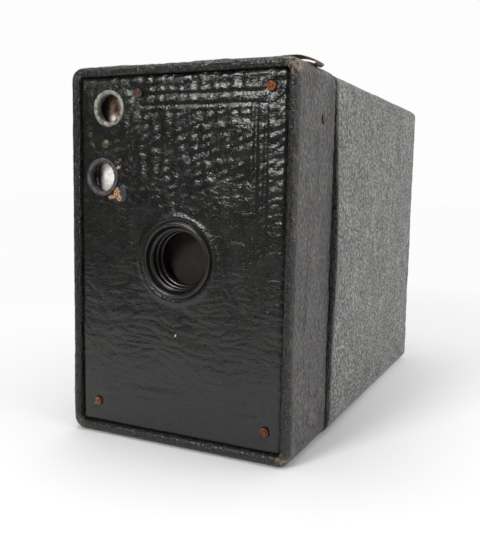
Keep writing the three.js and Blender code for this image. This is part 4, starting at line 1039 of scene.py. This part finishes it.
# ---------------------------------------------------------------- surroundings
def build_floor():
    """A plain pale sheet, darker to the right of the object as painted shadow, that fades into the white of
    the backdrop.
    """
    s = Shade("pale_floor")
    parts = s.nodes.new("ShaderNodeSeparateXYZ")
    s.links.new(s.place, parts.inputs["Vector"])
    tone = s.mix(s.noise(9, 3), (0.84, 0.845, 0.85), (0.865, 0.87, 0.875))
    # Painted shadow: the sheet's colour darkens to the right of the object.
    right = s.ramp(s.sum("ADD", parts.outputs["X"], 0.1), (0.0, 0.0), (0.25, 1.0))
    tone = s.mix(right, tone, (0.8, 0.805, 0.815))
    s.finish(tone, 0.8)
    ahead = s.sum("SUBTRACT", -0.45, parts.outputs["Y"])
    away = s.sum("MAXIMUM", parts.outputs["Y"], ahead)
    away = s.sum("MULTIPLY_ADD", s.sum("ABSOLUTE", parts.outputs["X"]), 0.7, away)
    fade = s.ramp(away, (0.0, 0.0), (0.4, 1.0))
    paper = settle(s.nodes.new("ShaderNodeEmission"), Color=(1, 1, 1, 1), Strength=0.97)
    blend = s.nodes.new("ShaderNodeMixShader")
    s.links.new(fade, blend.inputs["Fac"])
    s.links.new(s.surface.outputs["BSDF"], blend.inputs[1])
    s.links.new(paper.outputs["Emission"], blend.inputs[2])
    s.links.new(blend.outputs["Shader"], s.nodes["Material Output"].inputs["Surface"])
    wide = 3.0
    level = -0.0002  # a hair under the object, so that the two never share a surface
    for name, near, far in (("floor", FLOOR_EDGE, 3.5), ("floor_near", -3.0, FLOOR_EDGE)):
        mesh = bpy.data.meshes.new(name)
        mesh.from_pydata([(-wide, near, level), (wide, near, level), (wide, far, level), (-wide, far, level)],
                         [], [(0, 1, 2, 3)])
        mesh.materials.append(s.material)
        floor = bpy.data.objects.new(name, mesh)
        bpy.context.scene.collection.objects.link(floor)
    # the sheet nearer than its edge is only seen: it gives no reflections or bounced light
    floor.visible_glossy = False
    floor.visible_diffuse = False


def build_light():
    scene = bpy.context.scene
    world = bpy.data.worlds.new("studio")
    scene.world = world
    world.use_nodes = True
    nodes, links = world.node_tree.nodes, world.node_tree.links
    nodes.clear()
    out = nodes.new("ShaderNodeOutputWorld")
    seen = settle(nodes.new("ShaderNodeBackground"), Color=(1, 1, 1, 1), Strength=0.98)
    lit = settle(nodes.new("ShaderNodeBackground"), Color=(1, 0.998, 0.992, 1))
    direction = nodes.new("ShaderNodeTexCoord").outputs["Generated"]
    parts = nodes.new("ShaderNodeSeparateXYZ")
    links.new(direction, parts.inputs["Vector"])
    # bright paper behind the object, a dim room in front of it
    spread = nodes.new("ShaderNodeMapRange")
    spread.interpolation_type = "SMOOTHSTEP"
    settle(spread, From_Min=-0.45, From_Max=0.5, To_Min=0.09, To_Max=1.0)
    slant = nodes.new("ShaderNodeMath")
    slant.operation = "MULTIPLY_ADD"
    slant.inputs[1].default_value = 0.75
    links.new(parts.outputs["X"], slant.inputs[0])
    links.new(parts.outputs["Y"], slant.inputs[2])
    links.new(slant.outputs["Value"], spread.inputs["Value"])
    links.new(spread.outputs["Result"], lit.inputs["Strength"])
    path = nodes.new("ShaderNodeLightPath")
    choose = nodes.new("ShaderNodeMixShader")
    links.new(path.outputs["Is Camera Ray"], choose.inputs["Fac"])
    links.new(lit.outputs["Background"], choose.inputs[1])
    links.new(seen.outputs["Background"], choose.inputs[2])
    links.new(choose.outputs["Shader"], out.inputs["Surface"])

    def soft_box(name, place, target, width, height, power):
        lamp = bpy.data.lights.new(name, "AREA")
        lamp.shape = "RECTANGLE"
        lamp.size, lamp.size_y = width, height
        lamp.energy = power
        lamp.color = (1, 0.995, 0.985)
        holder = bpy.data.objects.new(name, lamp)
        holder.location = place
        holder.rotation_mode = "QUATERNION"
        holder.rotation_quaternion = (Vector(target) - Vector(place)).to_track_quat("-Z", "Y")
        scene.collection.objects.link(holder)

    soft_box("overhead", (-0.12, -0.1, 0.9), (0, 0, 0.06), 0.6, 0.4, 3.7)
    soft_box("front_window", (-0.24, -0.95, 0.53), (0, -0.08, 0.08), 0.28, 0.3, 7.2)
    soft_box("side_window", (1.1, 0.15, 0.5), (0.04, 0.02, 0.06), 1.3, 1.0, 4.0)
    scene.view_settings.view_transform = "Standard"
    scene.view_settings.look = "None"


def build_camera():
    """The eye stands to the right of the front, a little below the top edge."""
    lens = bpy.data.cameras.new("view")
    lens.sensor_width = 36
    lens.lens = LENS_MM
    lens.clip_start, lens.clip_end = 0.01, 50
    eye = bpy.data.objects.new("view", lens)
    right = Vector((0.9033, 0.4287, 0.0194))
    up = Vector((-0.0692, 0.1010, 0.9925))
    back = right.cross(up)
    place = Matrix((right, up, back)).transposed().to_4x4()
    place.translation = Vector((0.1162, FACE_Y * MM - 0.1961, 0.0887))
    eye.matrix_world = place
    bpy.context.scene.collection.objects.link(eye)
    bpy.context.scene.camera = eye


build_camera()
build_light()
build_floor()
build_front_frame()
build_front_panel()
build_rear_shell()
build_hood()
build_eyelet("top_finder_ring", "top_finder_eyelet", 4.6, GREY_RING)
build_eyelet("side_finder_ring", "side_finder_eyelet", 4.9, DULL_RING)
build_finder_lens("top_finder_eye_glass", "top_finder_lens", BROWNED, (-0.15, -0.55, 0.2))
build_finder_lens("side_finder_eye_glass", "side_finder_lens", HAZY_GLOWING, (0.3, -0.1, 0.35))
for number, corner in enumerate(("top_left", "top_right", "bottom_left", "bottom_right")):
    build_tack(corner, 80 + number)
build_pin()
for level in ("upper", "lower"):
    for side in ("right", "left"):
        build_side_nail(level, side)
build_strap()
finish_cad_nodes()
